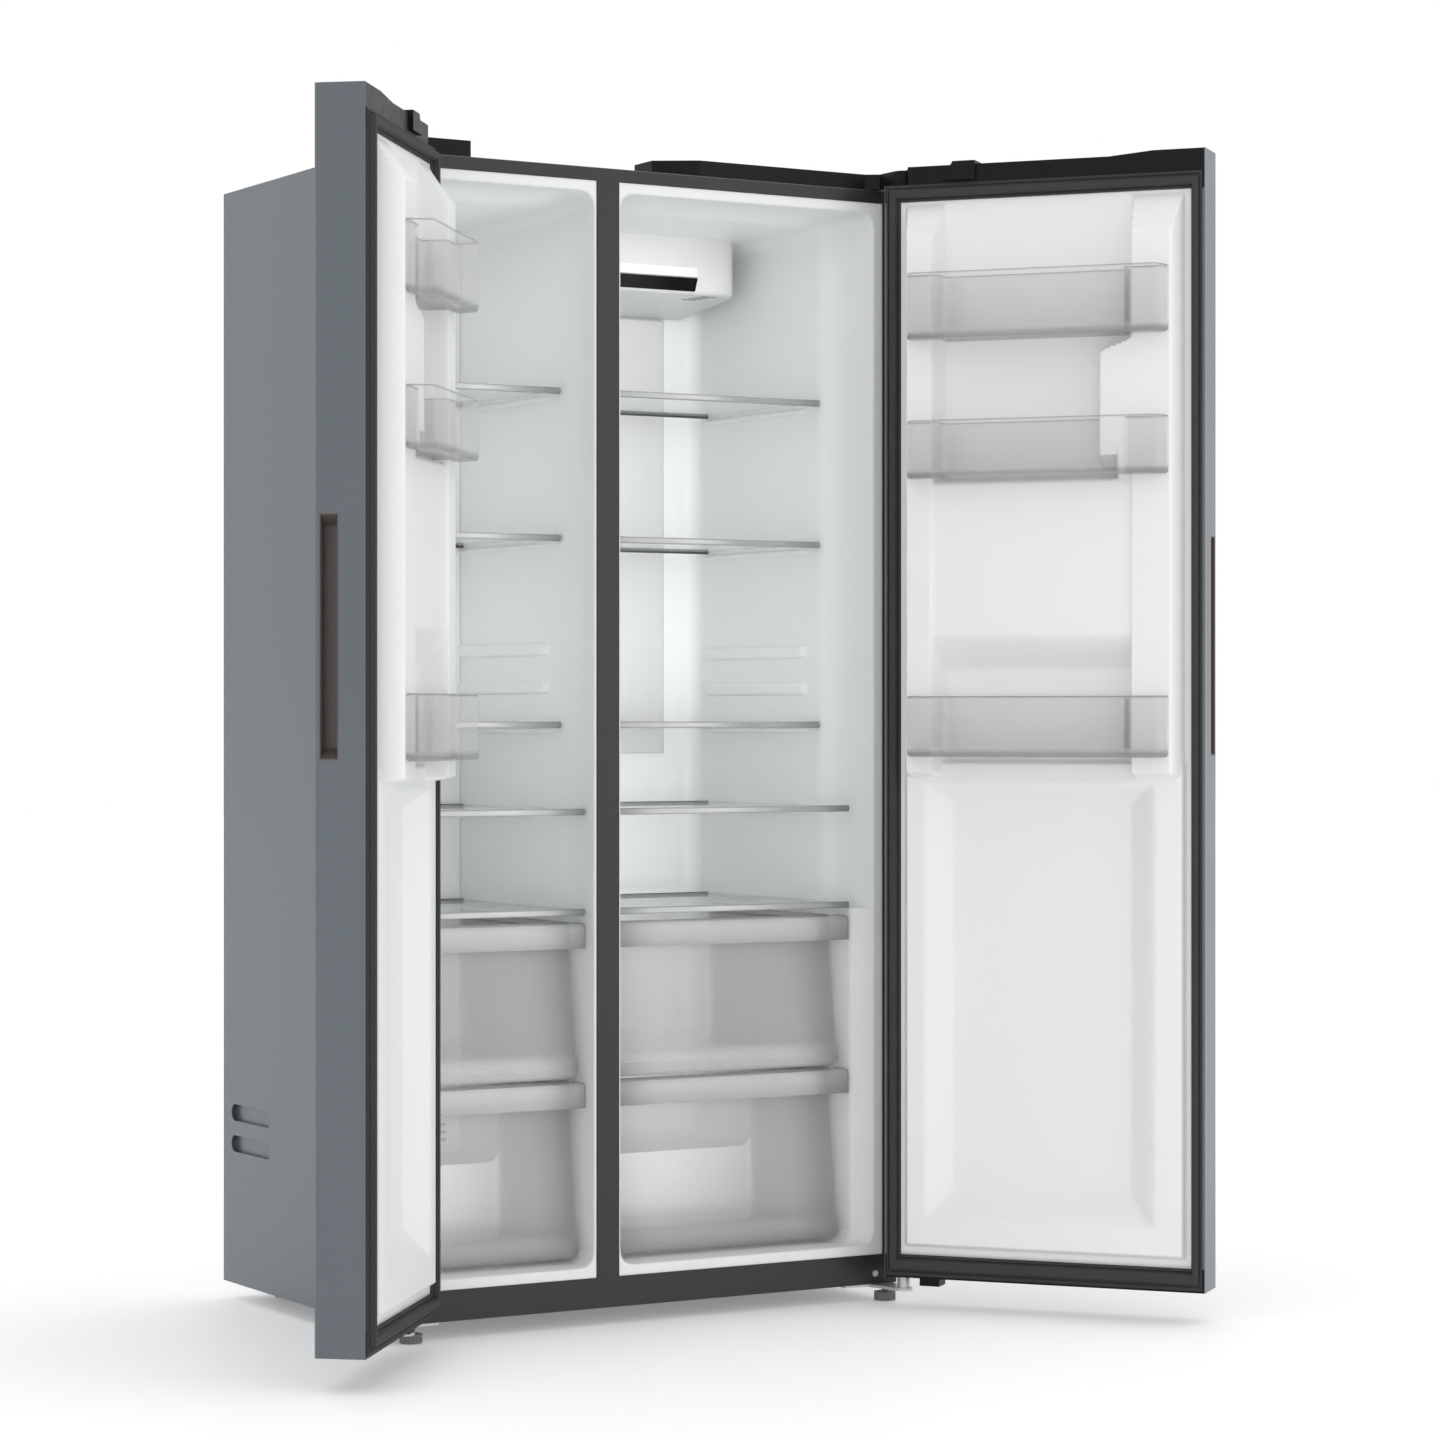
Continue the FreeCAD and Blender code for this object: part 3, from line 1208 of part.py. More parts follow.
def handle_room(kind, grow):
    """Room of the recessed grip in the door's free edge, made larger by grow."""
    w = WIDTHS[kind]
    z0 = DOOR_BOTTOM + HANDLE_LOW + HANDLE_WALL - grow
    z1 = DOOR_BOTTOM + HANDLE_LOW + HANDLE_LENGTH - HANDLE_WALL + grow
    h0 = -DOOR_THICK + HANDLE_BAND[0] + HANDLE_WALL - grow
    h1 = -DOOR_THICK + HANDLE_BAND[1] - HANDLE_WALL + grow
    depth = HANDLE_POCKET + grow
    outline = [
        (0, z0),
        (-depth, z0 + HANDLE_END_BEVEL),
        (-depth, z1 - HANDLE_END_BEVEL),
        (0, z1),
        (1, z1),
        (1, z0),
    ]
    points = [vec(door_x(kind, w + du), DOOR_FACE_Y + h0, z) for du, z in outline]
    return prism(points, vec(0, h1 - h0, 0))


def cap_bands():
    """Levels of the bottom and top door caps."""
    low = (DOOR_BOTTOM, DOOR_BOTTOM + CAP_LOW_BAND)
    high = (DOOR_TOP - CAP_TOP_BAND, DOOR_TOP - CAP_DROP)
    return low, high


def door_skin(kind):
    """Painted steel pan: front and two sides, with folded inner lips between the caps."""
    w = WIDTHS[kind]
    t = DOOR_THICK
    s = DOOR_SHEET
    b = DOOR_BEVEL
    outside = [(0, 0), (0, b - t), (b, -t), (w - b, -t), (w, b - t), (w, 0)]
    inside = [(s, 1), (s, b - t + s * 0.4), (b + s * 0.4, s - t)]
    inside += [(w - b - s * 0.4, s - t), (w - s, b - t + s * 0.4), (w - s, 1)]
    pan = door_prism(kind, outside, DOOR_BOTTOM, DOOR_TOP)
    pan = pan.cut(door_prism(kind, inside, DOOR_BOTTOM - 1, DOOR_TOP + 1))
    low, high = cap_bands()
    lips = [
        door_box(kind, 0, DOOR_LIP, -s, 0, low[1], high[0]),
        door_box(kind, w - DOOR_LIP, w, -s, 0, low[1], high[0]),
    ]
    notch_z = CASE_TOP - NOTCH_FLOOR
    notch = door_box(kind, -1, NOTCH_SKIN, -t - 1, 1, notch_z, DOOR_TOP + 1)
    handle_cut = door_box(
        kind,
        w - 2 * s,
        w + 1,
        HANDLE_BAND[0] - t,
        HANDLE_BAND[1] - t,
        DOOR_BOTTOM + HANDLE_LOW,
        DOOR_BOTTOM + HANDLE_LOW + HANDLE_LENGTH,
    )
    return join([pan] + lips).cut([notch, handle_cut])


def door_inside(kind, z0, z1, inner=0.0):
    """Room inside the skin between two levels, up to a distance from the inner face."""
    w = WIDTHS[kind]
    t = DOOR_THICK
    s = DOOR_SHEET
    b = DOOR_BEVEL
    outline = [(s, inner), (s, b - t + s * 0.4), (b + s * 0.4, s - t)]
    outline += [(w - b - s * 0.4, s - t), (w - s, b - t + s * 0.4), (w - s, inner)]
    return door_prism(kind, outline, z0, z1)


def pivot_bore(kind, z0, z1):
    centre = vec(SIGN[kind] * HINGE_X, HINGE_Y, z0)
    return rod(centre, PIN_RADIUS + PIN_CLEAR, z1 - z0, vec(0, 0, 1))


def cap_rooms(kind):
    """Foam-filled rooms of the two caps."""
    w = WIDTHS[kind]
    c = CAP_WALL
    t = DOOR_THICK
    low, high = cap_bands()
    top_room = door_box(kind, PIVOT_BLOCK, w - c - 4, c - t + 3, -c, high[0] - 1, high[1] - c)
    low_room = door_box(kind, PIVOT_BLOCK, w - c - 4, c - t + 3, -c, low[0] + c, low[1] + 1)
    return [top_room, low_room]


def door_caps(kind):
    """Black plastic caps that close the top and bottom and carry the hinge bushes."""
    w = WIDTHS[kind]
    low, high = cap_bands()
    notch_z = CASE_TOP - NOTCH_FLOOR
    top = door_inside(kind, high[0], high[1])
    rise = [
        (w - CAP_RISE_START, high[1] - 1),
        (w - CAP_RISE_START, high[1]),
        (w - CAP_RISE_END, DOOR_TOP - 0.5),
        (w - DOOR_SHEET, DOOR_TOP - 0.5),
        (w - DOOR_SHEET, high[1] - 1),
    ]
    points = [vec(door_x(kind, u), DOOR_FACE_Y - DOOR_THICK + 4, z) for u, z in rise]
    swell = prism(points, vec(0, DOOR_THICK - 4, 0))
    u0, u1 = WIRE_BLOCK
    foot_z = high[1] - 24
    block_z = high[1] + WIRE_BLOCK_RISE
    block = [(u0 - 16, foot_z), (u0, block_z), (u1, block_z), (u1, foot_z)]
    points = [vec(door_x(kind, u), DOOR_FACE_Y - 40, z) for u, z in block]
    wire_block = prism(points, vec(0, 46, 0))
    notch = door_box(kind, -1, NOTCH_WIDTH, -DOOR_THICK - 1, 1, notch_z, DOOR_TOP + 1)
    top_bore = pivot_bore(kind, notch_z - PIN_DEPTH - 1, notch_z + 1)
    top_cap = join([top, swell, wire_block]).cut([cap_rooms(kind)[0], notch, top_bore])
    bottom = door_inside(kind, low[0], low[1])
    stop_u0, stop_u1, deep, shallow, drop = DOOR_STOP
    stop = door_box(kind, stop_u0, stop_u1, -deep, -shallow, low[0] - drop, low[0] + 1)
    low_bore = pivot_bore(kind, low[0] - 1, low[0] + PIN_DEPTH + 1)
    low_cap = join([bottom, stop]).cut([cap_rooms(kind)[1], low_bore])
    return Part.makeCompound([top_cap, low_cap])


def dike_outline(kind, hinge_side, shrink):
    """Plan outline of an upright ridge of the door liner."""
    w = WIDTHS[kind]
    top = DIKE_HEIGHT - shrink
    base = -LINER - 1 if shrink else -LINER / 2
    if hinge_side:
        outer = (DIKE_OUTER[0] + shrink, DIKE_OUTER[1] + shrink)
        inner = (DIKE_INNER[0] - shrink, DIKE_INNER[1] - shrink)
    else:
        outer = (w - DIKE_FREE_INNER[0] + shrink, w - DIKE_FREE_INNER[1] + shrink)
        inner = (w - DIKE_FREE_OUTER[0] - shrink, w - DIKE_FREE_OUTER[1] - shrink)
    return [(outer[0], base), (outer[1], top), (inner[1], top), (inner[0], base)]


def dikes(kind, shrink):
    """The two ridges that carry the bins, sloped off at the top."""
    z0 = DOOR_BOTTOM + PLATEAU_TOP - DIKE_UNDER_PANEL + shrink
    z1 = DOOR_TOP - DIKE_TOP_DROP - shrink
    slope = [
        (-20, z0 - 1),
        (DIKE_HEIGHT + 1, z0 - 1),
        (DIKE_HEIGHT + 1, z1 - DIKE_SLOPE),
        (DIKE_HEIGHT, z1 - DIKE_SLOPE),
        (-LINER / 2, z1),
        (-20, z1),
    ]
    keep = door_side_prism(kind, slope, 0, WIDTHS[kind])
    made = []
    for hinge_side in (True, False):
        made.append(door_prism(kind, dike_outline(kind, hinge_side, shrink), z0, z1).common(keep))
    return made


def plateau(kind, shrink):
    """Low raised panel in the lower half of the door."""
    w = WIDTHS[kind]
    z0 = DOOR_BOTTOM + PLATEAU_LOW + shrink
    z1 = DOOR_BOTTOM + PLATEAU_TOP - shrink
    e0, e1 = PLATEAU_EDGE
    f0, f1 = PLATEAU_FREE_EDGE
    base = (e0 + shrink, w - f0 - shrink, z0, z1)
    crest = (e1 + shrink, w - f1 - shrink, z0 + e1 - e0, z1 - e1 + e0)
    low = -LINER - 1 if shrink else -LINER / 2
    return frustum(kind, base, crest, low, PLATEAU_HEIGHT - shrink)


def dish(kind, grow):
    """Sloped hollow in the lower panel."""
    w = WIDTHS[kind]
    z0 = DOOR_BOTTOM + PLATEAU_LOW - grow
    z1 = DOOR_BOTTOM + PLATEAU_TOP + grow
    edges = []
    for hinge_side, free_side, low, high in (DISH_FLOOR, DISH_CREST):
        edges.append((hinge_side - grow, w - free_side + grow, z0 + low, z1 - high))
    floor, crest = edges
    top = PLATEAU_HEIGHT if grow else PLATEAU_HEIGHT + 0.01
    return frustum(kind, floor, crest, -DISH_DEPTH - grow, top)


def bin_lugs(kind):
    """Lugs on the dikes' inner faces that the bins sit on."""
    w = WIDTHS[kind]
    made = []
    for low, _ in BIN_LEVELS:
        z1 = DOOR_BOTTOM + low - SEAT_GAP
        z0 = z1 - BIN_LUG
        hinge_lug = (DIKE_INNER[0] - LUG_IN_DIKE, BIN_NECK_HINGE + LUG_UNDER_BIN)
        free_lug = (w - BIN_NECK_FREE - LUG_UNDER_BIN, w - DIKE_FREE_INNER[0] + LUG_IN_DIKE)
        for u0, u1 in (hinge_lug, free_lug):
            made.append(door_box(kind, u0, u1, -LINER / 2, LUG_REACH, z0, z1))
    return made


def liner_voids(kind):
    """Rooms behind the raised parts of the door liner, which the foam fills."""
    rooms = dikes(kind, LINER) + [plateau(kind, LINER)]
    return join(rooms).cut(dish(kind, LINER))


def door_liner(kind):
    """White vacuum-formed inner panel with bin ridges above and a dished panel below."""
    w = WIDTHS[kind]
    low, high = cap_bands()
    plate = door_box(kind, DOOR_LIP, w - DOOR_LIP, -LINER, 0, low[1], high[0])
    raised = [plate, plateau(kind, 0.0), dish(kind, LINER)] + dikes(kind, 0.0)
    body = join(raised).cut([liner_voids(kind), dish(kind, 0.0)])
    lugs = [lug.cut(liner_voids(kind)) for lug in bin_lugs(kind)]
    return join([body] + lugs)


def door_foam(kind):
    """Insulation inside a door."""
    low, high = cap_bands()
    core = door_inside(kind, low[1], high[0], -LINER)
    whole = join([core] + cap_rooms(kind) + [liner_voids(kind)])
    return whole.cut([dish(kind, LINER), handle_room(kind, HANDLE_WALL)])


def ring(kind, hinge_band, free_band, z_band, h0, h1):
    """Rectangular frame on the door's inner face; bands run from the door's edges inward."""
    w = WIDTHS[kind]
    outside = door_box(kind, hinge_band[0], w - free_band[0], h0, h1, z_band[0], z_band[3])
    inside = door_box(kind, hinge_band[1], w - free_band[1], h0 - 1, h1 + 1, z_band[1], z_band[2])
    return outside.cut(inside)


def door_gasket(kind):
    """Magnetic gasket: flat base with a raised sealing tube."""
    seal_low = OPEN_LOW - GASKET_OVERLAP
    seal_top = OPEN_TOP + GASKET_OVERLAP
    levels = (DOOR_BOTTOM + 3, OPEN_LOW + 12, OPEN_TOP - 10, CASE_TOP - NOTCH_FLOOR - 0.5)
    base = ring(kind, GASKET_HINGE, GASKET_FREE, levels, 0, GASKET_BASE)
    bulb_levels = (seal_low, OPEN_LOW - 2, OPEN_TOP + 2, seal_top)
    bands = (GASKET_BULB_HINGE, GASKET_BULB_FREE)
    bulb = ring(kind, *bands, bulb_levels, GASKET_BASE - 0.5, GASKET_REACH)
    return join([base, bulb])


def handle_trim(kind):
    """Dark insert that lines the recessed grip."""
    w = WIDTHS[kind]
    body = handle_room(kind, HANDLE_WALL).common(
        door_box(kind, 0, w, -DOOR_THICK, 0, DOOR_BOTTOM, DOOR_TOP)
    )
    return body.cut(handle_room(kind, 0.0))


def bin_outline(kind, shrink):
    w = WIDTHS[kind]
    return [
        (BIN_NECK_HINGE + shrink, BIN_BACK + shrink),
        (BIN_NECK_HINGE + shrink, DIKE_HEIGHT + SEAT_GAP + shrink),
        (BIN_WIDE[0] + shrink, DIKE_HEIGHT + SEAT_GAP + shrink),
        (BIN_WIDE[1] + shrink, BIN_FRONT - shrink),
        (w - BIN_WIDE_FREE[1] - shrink, BIN_FRONT - shrink),
        (w - BIN_WIDE_FREE[0] - shrink, DIKE_HEIGHT + SEAT_GAP + shrink),
        (w - BIN_NECK_FREE - shrink, DIKE_HEIGHT + SEAT_GAP + shrink),
        (w - BIN_NECK_FREE - shrink, BIN_BACK + shrink),
    ]


def door_bin(kind, index):
    """Clear bin: a neck between the ridges and a wider tray in front of them."""
    low, top = (DOOR_BOTTOM + level for level in BIN_LEVELS[index])
    body = door_prism(kind, bin_outline(kind, 0.0), low, top)
    room = door_prism(kind, bin_outline(kind, BIN_WALL), low + BIN_WALL, top + 1)
    return body.cut(room)


# ---------------------------------------------------------------- build
def build_cabinet():
    save("outer_case", outer_case())
    save("rear_panel", rear_panel())
    save("base_deck", base_deck())
    save("cabinet_foam", cabinet_foam())
    save("front_frame", front_frame())
    save("mullion_cover", mullion_cover())
    save("freezer_liner", liner("freezer"))
    save("fridge_liner", liner("fridge"))
    save("evaporator_cover", evaporator_cover())
    save("evaporator", evaporator())
    save("evaporator_fan", evaporator_fan())
    save("control_housing", control_housing())
    save("display_panel", display_panel())
    save("air_duct", air_duct())
    save("compressor", compressor())
    save("condenser", condenser())
    save("condenser_fan", condenser_fan())
    save("drain_pan", drain_pan())
    save("machine_cover", machine_cover())
    save("cord_gland", cord_gland())
    save("control_board", control_board())
    save("hinge_brackets", hinge_brackets())
    right_x = RIGHT_COVER_X
    save("hinge_cover_right", hinge_cover(1, right_x[0], right_x[1]))
    left_end = -HALF + LEFT_COVER_END
    save("hinge_cover_left", hinge_cover(-1, left_end, left_end - 12))
    save("screws", screws())
    save("foot_left", foot(FOOT_X[0]))
    save("foot_right", foot(FOOT_X[1]))
    save("rear_rollers", rear_rollers())


def build_loose_pieces():
    for kind in SIGN:
        for index in range(len(shelf_levels())):
            save(f"{kind}_shelf_{index + 1}", shelf(kind, index))
        for index, name in enumerate(("lower", "upper")):
            save(f"{kind}_drawer_{name}", drawer(kind, index))


def build_doors():
    for kind in SIGN:
        save(f"{kind}_door_skin", opened(kind, door_skin(kind)))
        save(f"{kind}_door_caps", opened(kind, door_caps(kind)))
        save(f"{kind}_door_liner", opened(kind, door_liner(kind)))
        save(f"{kind}_door_foam", opened(kind, door_foam(kind)))
        save(f"{kind}_door_gasket", opened(kind, door_gasket(kind)))
        save(f"{kind}_door_handle", opened(kind, handle_trim(kind)))
        for index in range(len(BIN_LEVELS)):
            save(f"{kind}_bin_{index + 1}", opened(kind, door_bin(kind, index)))


os.makedirs("parts", exist_ok=True)
build_cabinet()
build_loose_pieces()
build_doors()
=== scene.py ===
"""Looks of a side by side refrigerator with both doors open.

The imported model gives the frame, the machinery and every flat metal part. This file dresses those
nodes, and replaces the formed and clear plastic pieces with surfaces worked out with numpy: the two
compartment liners, the two door liners, gaskets, bins, drawers and glass shelves.
"""

import logging
import math
from dataclasses import dataclass, field
from enum import Enum

import bpy
import numpy as np
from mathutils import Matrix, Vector


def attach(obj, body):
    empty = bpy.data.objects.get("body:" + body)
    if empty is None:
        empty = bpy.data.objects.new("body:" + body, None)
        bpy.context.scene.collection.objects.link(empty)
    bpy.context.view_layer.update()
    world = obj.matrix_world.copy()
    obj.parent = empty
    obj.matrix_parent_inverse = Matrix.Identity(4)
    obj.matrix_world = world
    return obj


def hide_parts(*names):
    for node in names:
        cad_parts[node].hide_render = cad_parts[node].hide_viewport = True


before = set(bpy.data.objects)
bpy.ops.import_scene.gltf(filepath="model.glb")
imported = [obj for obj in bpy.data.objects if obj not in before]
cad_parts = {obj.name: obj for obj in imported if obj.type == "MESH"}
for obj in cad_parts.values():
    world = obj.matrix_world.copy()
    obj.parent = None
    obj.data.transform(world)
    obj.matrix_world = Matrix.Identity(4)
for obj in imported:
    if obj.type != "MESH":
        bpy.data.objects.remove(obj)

log = logging.getLogger("refrigerator")
MM = 0.001
ORIGIN = np.array([35.0, 48.0, 0.0])  # the frame's origin, from the middle of the case's front
# The edge mark also places the clear parts' painted edge shade.
EDGE_MARK = "edge"  # mesh attribute: 1 along rims and edges, 0 on the faces between
FIRST, SECOND, MIXED = 6, 7, 2  # colour sockets of a mix node

Colour = tuple[float, float, float]
Socket = bpy.types.NodeSocket
Tree = bpy.types.NodeTree


class Side(Enum):
    """The two halves of the appliance."""

    FREEZER = "freezer"
    FRIDGE = "fridge"

    @property
    def sign(self) -> float:
        """Direction of the outer wall along X."""
        return 1.0 if self is Side.FRIDGE else -1.0

    @property
    def mirrored(self) -> bool:
        """True where x runs the other way, which turns the faces round."""
        return self is Side.FREEZER


class Clarity(Enum):
    """How a finish lets light through."""

    SOLID = "solid"
    CLEAR = "clear"


# ------------------------------------------------------------------ finishes
def mix_colours(tree: Tree, factor: Socket, first: Colour | Socket, second: Colour) -> Socket:
    """Blend of two colours, (1 - factor) first + factor second.

    Args:
        tree: the material's nodes.
        factor: socket with the second colour's share.
        first: a colour, or a socket that gives one.
        second: a colour.

    Returns:
        The blended colour's socket.
    """
    mix = tree.nodes.new("ShaderNodeMix")
    mix.data_type = "RGBA"
    if isinstance(first, tuple):
        mix.inputs[FIRST].default_value = (*first, 1.0)
    else:
        tree.links.new(first, mix.inputs[FIRST])
    mix.inputs[SECOND].default_value = (*second, 1.0)
    tree.links.new(factor, mix.inputs[0])
    return mix.outputs[MIXED]


def spread_value(tree: Tree, value: Socket, low: float, high: float) -> Socket:
    """Socket low + (high - low) value.

    Args:
        tree: the material's nodes.
        value: socket from 0 to 1.
        low: result at 0.
        high: result at 1.

    Returns:
        The result's socket.
    """
    spread = tree.nodes.new("ShaderNodeMapRange")
    spread.inputs["To Min"].default_value = low
    spread.inputs["To Max"].default_value = high
    tree.links.new(value, spread.inputs["Value"])
    return spread.outputs["Result"]


def edge_mark(tree: Tree) -> Socket:
    """Socket with the mesh's edge mark."""
    mark = tree.nodes.new("ShaderNodeAttribute")
    mark.attribute_name = EDGE_MARK
    return mark.outputs["Fac"]


@dataclass(frozen=True)
class Finish:
    """A procedural finish: two close colours, gloss and fine relief broken up by noise.

    Sizes are in metres, grains in cells for each metre; soft_edge is the radius by which the
    shading rounds a hard edge, and the alphas serve clear finishes only.
    """

    name: str
    colour: Colour
    shade: Colour
    roughness: float = 0.4
    rough_spread: float = 0.06
    metallic: float = 0.0
    grain: float = 40.0
    relief: float = 0.0002
    relief_grain: float = 900.0
    soft_edge: float = 0.0
    glow: float = 0.0
    clarity: Clarity = Clarity.SOLID
    thin_alpha: float = 0.12
    thick_alpha: float = 0.37
    edge_alpha: float = 0.75
    coat: float = 0.0
    stretch: tuple[float, float, float] = (1.0, 1.0, 1.0)
    specular: float = 0.5

    def material(self) -> bpy.types.Material:
        """Build the node tree once and hand back the same material after that.

        Returns:
            The material: noise on Object coordinates mixes colour and shade, spreads the
            roughness and lifts a fine bump; a clear finish also thins with the view angle.
        """
        known = bpy.data.materials.get(self.name)
        if known is not None:
            return known
        mat = bpy.data.materials.new(self.name)
        mat.use_nodes = True
        tree = mat.node_tree
        bsdf = tree.nodes["Principled BSDF"]
        constants = {
            "Metallic": self.metallic,
            "Specular IOR Level": self.specular,
            "Emission Color": (1.0, 1.0, 1.0, 1.0),
            "Emission Strength": self.glow,
            "Coat Weight": self.coat,
            "Coat Roughness": 0.12,
        }
        for socket, value in constants.items():
            bsdf.inputs[socket].default_value = value
        coord = tree.nodes.new("ShaderNodeTexCoord")
        mapping = tree.nodes.new("ShaderNodeMapping")
        mapping.inputs["Scale"].default_value = self.stretch
        tree.links.new(coord.outputs["Object"], mapping.inputs["Vector"])
        place = mapping.outputs["Vector"]
        cloud = self._noise(tree, place, self.grain)
        colour = self._tint(tree, mix_colours(tree, cloud, self.colour, self.shade), place)
        tree.links.new(colour, bsdf.inputs["Base Color"])
        smooth = max(0.02, self.roughness - self.rough_spread)
        rough = spread_value(tree, cloud, smooth, self.roughness + self.rough_spread)
        tree.links.new(rough, bsdf.inputs["Roughness"])
        self._relief(tree, place, bsdf)
        if self.clarity is Clarity.CLEAR:
            self._thin(tree, bsdf)
        return mat

    def _noise(self, tree: Tree, place: Socket, scale: float) -> Socket:
        """Three-octave noise texture.

        Args:
            tree: the material's nodes.
            place: coordinates.
            scale: cells for each metre.

        Returns:
            The noise's socket, from 0 to 1.
        """
        noise = tree.nodes.new("ShaderNodeTexNoise")
        noise.inputs["Scale"].default_value = scale
        noise.inputs["Detail"].default_value = 3.0
        tree.links.new(place, noise.inputs["Vector"])
        return noise.outputs["Fac"]

    def _tint(self, tree: Tree, colour: Socket, place: Socket) -> Socket:
        """Colour over the piece; a plain finish hands it back unchanged."""
        return colour

    def _relief(self, tree: Tree, place: Socket, bsdf: bpy.types.Node) -> None:
        """Fine bump from noise over normals that are rounded at hard edges.

        Args:
            tree: the material's nodes.
            place: coordinates.
            bsdf: the surface.
        """
        bump = tree.nodes.new("ShaderNodeBump")
        bump.inputs["Strength"].default_value = 0.25
        bump.inputs["Distance"].default_value = self.relief
        tree.links.new(self._noise(tree, place, self.relief_grain), bump.inputs["Height"])
        if self.soft_edge > 0.0:
            bevel = tree.nodes.new("ShaderNodeBevel")
            bevel.samples = 4
            bevel.inputs["Radius"].default_value = self.soft_edge
            tree.links.new(bevel.outputs["Normal"], bump.inputs["Normal"])
        tree.links.new(bump.outputs["Normal"], bsdf.inputs["Normal"])

    def _thin(self, tree: Tree, bsdf: bpy.types.Node) -> None:
        """Let light through: thin face on, denser at a glancing view and along marked edges.

        Args:
            tree: the material's nodes.
            bsdf: the surface.
        """
        facing = tree.nodes.new("ShaderNodeLayerWeight")
        facing.inputs["Blend"].default_value = 0.35
        alpha = spread_value(tree, facing.outputs["Facing"], self.thin_alpha, self.thick_alpha)
        lift = tree.nodes.new("ShaderNodeMix")
        tree.links.new(edge_mark(tree), lift.inputs[0])
        tree.links.new(alpha, lift.inputs[2])
        lift.inputs[3].default_value = self.edge_alpha
        tree.links.new(lift.outputs[0], bsdf.inputs["Alpha"])


@dataclass(frozen=True)
class EdgeShadedClearFinish(Finish):
    """A clear finish whose marked edges take a second, darker colour: painted shade for the dark lines
    that refraction draws along rims and edges, and for the shelf glass also its own green tint.
    """

    edge_tint_and_painted_shade: Colour = (0.3, 0.31, 0.32)

    def _tint(self, tree: Tree, colour: Socket, place: Socket) -> Socket:
        """Mix in the painted edge shade by the mesh's edge mark."""
        return mix_colours(tree, edge_mark(tree), colour, self.edge_tint_and_painted_shade)


@dataclass(frozen=True)
class BandedFinish(Finish):
    """A finish that changes to a second colour above a height, in metres."""

    level: float = 1.6335
    above: Colour = (0.75, 0.76, 0.77)

    def _tint(self, tree: Tree, colour: Socket, place: Socket) -> Socket:
        """Switch colour where z passes the level.

        Args:
            tree: the material's nodes.
            colour: the colour below the level.
            place: coordinates.

        Returns:
            The switched colour's socket.
        """
        split = tree.nodes.new("ShaderNodeSeparateXYZ")
        tree.links.new(place, split.inputs["Vector"])
        over = tree.nodes.new("ShaderNodeMath")
        over.operation = "GREATER_THAN"
        over.inputs[1].default_value = self.level
        tree.links.new(split.outputs["Z"], over.inputs[0])
        return mix_colours(tree, over.outputs["Value"], colour, self.above)


SLATE_PAINT = Finish(
    "slate_paint", (0.115, 0.135, 0.15), (0.13, 0.15, 0.165), roughness=0.34, metallic=0.55,
    grain=3.0, relief=0.00005, relief_grain=2500.0, soft_edge=0.0012, coat=0.15,
)
ZINC_SHEET = Finish(
    "zinc_sheet", (0.5, 0.51, 0.52), (0.42, 0.43, 0.44), roughness=0.45, rough_spread=0.12,
    metallic=0.8, grain=55.0, relief=0.0001, relief_grain=300.0, soft_edge=0.001,
)
BARE_STEEL = Finish(
    "bare_steel", (0.62, 0.62, 0.61), (0.5, 0.5, 0.5), roughness=0.3, rough_spread=0.1,
    metallic=1.0, grain=120.0, relief=0.0001, relief_grain=700.0, soft_edge=0.0008,
    stretch=(1.0, 6.0, 1.0),
)
FRAME_BLACK = Finish(
    "frame_black", (0.008, 0.008, 0.0082), (0.011, 0.011, 0.0112), roughness=0.42,
    rough_spread=0.05, grain=30.0, relief=0.00008, relief_grain=1800.0, soft_edge=0.001,
    specular=0.06,
)
CAP_BLACK = Finish(
    "cap_black", (0.005, 0.005, 0.0055), (0.008, 0.008, 0.0085), roughness=0.38, rough_spread=0.08,
    grain=60.0, relief=0.0001, relief_grain=1500.0, soft_edge=0.0016, specular=0.16,
)
LINER_WHITE = Finish(
    "liner_white", (0.83, 0.835, 0.84), (0.8, 0.805, 0.81), roughness=0.28, rough_spread=0.05,
    grain=9.0, relief_grain=420.0,
)
HOUSING_WHITE = Finish(
    "housing_white", (0.64, 0.643, 0.646), (0.61, 0.613, 0.616), roughness=0.32, rough_spread=0.05,
    grain=12.0, relief_grain=700.0, soft_edge=0.003,
)
DISPLAY_BLACK = BandedFinish(
    "display_black", (0.004, 0.004, 0.005), (0.006, 0.006, 0.007), roughness=0.2, rough_spread=0.03,
    grain=20.0, relief=0.00003, specular=0.15,
)
RUBBER_BLACK = Finish(
    "gasket_rubber", (0.004, 0.004, 0.004), (0.007, 0.007, 0.007), rough_spread=0.08, grain=80.0,
    specular=0.12,
)
HANDLE_BRONZE = Finish(
    "handle_bronze", (0.085, 0.079, 0.076), (0.06, 0.056, 0.054), roughness=0.3, metallic=0.6,
    grain=12.0, relief=0.00005, relief_grain=1500.0, soft_edge=0.0015,
)
# The dark grey along the trays' rims and feet is painted shade for the lines that refraction draws
# there.
CLEAR_TRAY = EdgeShadedClearFinish(
    "clear_tray", (0.76, 0.765, 0.77), (0.7, 0.705, 0.71), roughness=0.1, rough_spread=0.04,
    grain=14.0, relief=0.0001, relief_grain=260.0, clarity=Clarity.CLEAR, thin_alpha=0.08,
    thick_alpha=0.33, edge_alpha=0.6, edge_tint_and_painted_shade=(0.14, 0.143, 0.146),
)
